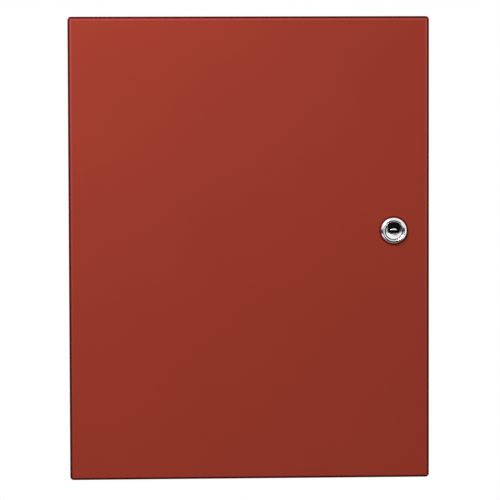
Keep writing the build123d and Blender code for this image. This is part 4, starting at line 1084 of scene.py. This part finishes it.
def lead(points):
    """A round lead along a smooth curve through its route's points."""
    curve = bpy.data.curves.new("lead", "CURVE")
    curve.dimensions = "3D"
    curve.bevel_depth = lead_radius
    curve.bevel_resolution = 3
    curve.use_fill_caps = True
    curve.resolution_u = 10
    spline = curve.splines.new("NURBS")
    spline.points.add(len(points) - 1)
    for point, place in zip(spline.points, points):
        point.co = (*place, 1.0)
    spline.order_u = 3
    spline.use_endpoint_u = True
    made = set_up("lead", curve)
    bpy.context.view_layer.update()
    mesh = bpy.data.meshes.new_from_object(evaluated(made))
    bm = bmesh.new()
    bm.from_mesh(mesh)
    bmesh.ops.remove_doubles(bm, verts=bm.verts, dist=0.001 * MM)
    bpy.data.objects.remove(made)
    bpy.data.meshes.remove(mesh)
    return bm


def leads(name, node, slot, *routes):
    """Replaces a node of leads by smooth ones."""
    parts = [(lead(route), IN_PLACE) for route in routes]
    piece(name, gather(*parts), slot, node, sharp=60)


plugs = solids("wiring_plugs")
receptacles = solids("tab_receptacles")


def under_plug(plug, shift):
    return Vector((middle(plug).x + shift, middle(plug).y, plug[0].z))


def over_tab(receptacle):
    return Vector((middle(receptacle).x, middle(receptacle).y, receptacle[1].z))


def battery_route(shift, receptacle):
    start, end = under_plug(plugs[0], shift), over_tab(receptacle)
    drop = start.z - end.z
    return [start, start + DOWN * 0.42 * drop, end + UP * 0.4 * drop, end]


leads("battery_wire_red", "battery_lead_red", "red_insulation", battery_route(-5 * MM, receptacles[0]))
left_tab, right_tab = over_tab(receptacles[1]), over_tab(receptacles[2])
rise = UP * 24 * MM
jumper = [left_tab, left_tab + rise, right_tab + rise, right_tab]
battery_black = (battery_route(5 * MM, receptacles[3]), jumper)
leads("battery_wires_black", "battery_leads_black", "black_insulation", *battery_black)

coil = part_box("transformer_winding")
mains_screw_boxes = solids("mains_screws")


def coil_point(shift, depth):
    return Vector((middle(coil).x + shift, coil[1].y - depth, coil[1].z))


def supply_route(shift, plug_shift):
    start, end = coil_point(shift, 27.7 * MM), under_plug(plugs[1], plug_shift)
    rise = end.z - start.z
    return [start, start + UP * 0.15 * rise, end + DOWN * 0.22 * rise, end]


def mains_route(shift, way):
    start = coil_point(shift, 9.4 * MM)
    box = mains_screw_boxes[way]
    end = Vector((middle(box).x, box[1].y - lead_radius, box[0].z))
    return [start, start + UP * 10 * MM, end + DOWN * 13.6 * MM, end]


supply = (supply_route(-16 * MM, -5 * MM), supply_route(-8 * MM, 5 * MM))
mains = (mains_route(0, 1), mains_route(8 * MM, 2))
leads("transformer_wires", "transformer_leads", "black_insulation", *supply, *mains)


def ground_route():
    box = mains_screw_boxes[0]
    start = Vector((middle(box).x, box[1].y - lead_radius, box[1].z))
    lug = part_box("bonding_lug")
    end = Vector((lug[1].x, lug[1].y - 2 * MM, middle(lug).z))
    return [start, Vector((start.x, start.y, end.z)), end + RIGHT * 10 * MM, end]


leads("ground_wire", "ground_lead", "green_insulation", ground_route())

# ---- light, floor and camera


def soft_light(name, place, width, power, mirrored=True):
    """A square lamp aimed at the middle of the wall face, with or without its image in the metal."""
    lamp = bpy.data.lights.new(name, "AREA")
    lamp.shape = "SQUARE"
    lamp.size = width
    lamp.energy = power
    made = set_up(name, lamp)
    made.location = place
    made.rotation_euler = (-Vector(place)).to_track_quat("-Z", "Y").to_euler()
    made.visible_glossy = mirrored


soft_light("Key", (-0.53, -0.75, 0.72), width=0.7, power=12.1)
soft_light("Fill", (1.8, -2.2, 0.3), width=1.6, power=10, mirrored=False)


def studio():
    """White for the camera and through glass, and a gentle even light on rough surfaces.

    Mirrors see white above and at both sides; below, toward the camera and on a small screen at
    the left they see dark.
    """
    world = bpy.data.worlds.new("Studio")
    bpy.context.scene.world = world
    world.use_nodes = True
    tree = world.node_tree
    sky = tree.nodes["Background"]
    sky.inputs["Color"].default_value = (1, 1, 1, 1)
    ray = tree.nodes.new("ShaderNodeLightPath").outputs
    across, depth, height = coordinates(tree)
    dark, camera_dark, rough_share = 0.006, 0.12, 0.31
    beside_camera = remap(tree, depth, -0.985, -0.93, camera_dark, 1)
    above = remap(tree, height, 0, 0.12, dark, 1)
    aside = maths(tree, "ABSOLUTE", maths(tree, "SUBTRACT", across, 0.06))
    at_sides = remap(tree, aside, 0.45, 0.6, dark, 1)
    screen_end = remap(tree, across, -0.6, -0.5, dark, 1)
    from_screen = maths(tree, "ABSOLUTE", maths(tree, "ADD", height, 0.12))
    past_screen = maths(tree, "MAXIMUM", screen_end, remap(tree, from_screen, 0.14, 0.22, dark, 1))
    white = maths(tree, "MAXIMUM", above, maths(tree, "MULTIPLY", at_sides, past_screen))
    mirrored = maths(tree, "MULTIPLY", ray["Is Glossy Ray"], maths(tree, "MULTIPLY", beside_camera, white))
    plain = maths(tree, "MAXIMUM", ray["Is Camera Ray"], ray["Is Transmission Ray"])
    diffuse = maths(tree, "MULTIPLY", ray["Is Diffuse Ray"], rough_share)
    strength = maths(tree, "MAXIMUM", diffuse, maths(tree, "MAXIMUM", mirrored, plain))
    wire(tree, strength, sky.inputs["Strength"])


studio()


def floor():
    """A pale round floor below the panel: white to the camera except in shadow, darker in mirrors."""
    pale, mirror_loss, glow, drop = 0.8, 0.55, 0.75, 0.25
    bm = bmesh.new()
    bmesh.ops.create_circle(bm, cap_ends=True, radius=1.0, segments=96)
    bmesh.ops.translate(bm, vec=(0, 0.5, cad_box[0][2] - drop), verts=bm.verts)
    made = set_up("Floor", mesh_of(bm, "Floor"))
    material = new_finish("floor", (pale, pale, pale), 0.9, (2, 0.01), (40, 0.01))
    tree = material.node_tree
    shader = shader_of(tree)
    shader.inputs["Specular IOR Level"].default_value = 0.0
    shader.inputs["Emission Color"].default_value = (1, 1, 1, 1)
    ray = tree.nodes.new("ShaderNodeLightPath").outputs
    wire(tree, maths(tree, "MULTIPLY", ray["Is Camera Ray"], glow), shader.inputs["Emission Strength"])
    loss = maths(tree, "MULTIPLY", ray["Is Glossy Ray"], mirror_loss)
    wire(tree, maths(tree, "SUBTRACT", pale, loss), shader.inputs["Base Color"])
    made.data.materials.append(material)


floor()


def camera():
    """A long lens almost square to the door, a little above and to the left of its middle."""
    focal_length, distance = 212.05, 2.5
    turn, tilt, roll = -0.04926, -0.05465, -0.00312
    view = bpy.data.cameras.new("Camera")
    view.sensor_width = 36
    view.lens = focal_length
    made = set_up("Camera", view)
    made.location = (-0.1228, door_face_y - distance, 0.1356)
    look = Matrix.Rotation(turn, 4, "Z") @ Matrix.Rotation(tilt, 4, "X")
    look = look @ Matrix.Rotation(pi / 2, 4, "X") @ Matrix.Rotation(roll, 4, "Z")
    made.rotation_euler = look.to_euler()
    bpy.context.scene.camera = made


camera()

bpy.context.scene.view_settings.view_transform = "Standard"
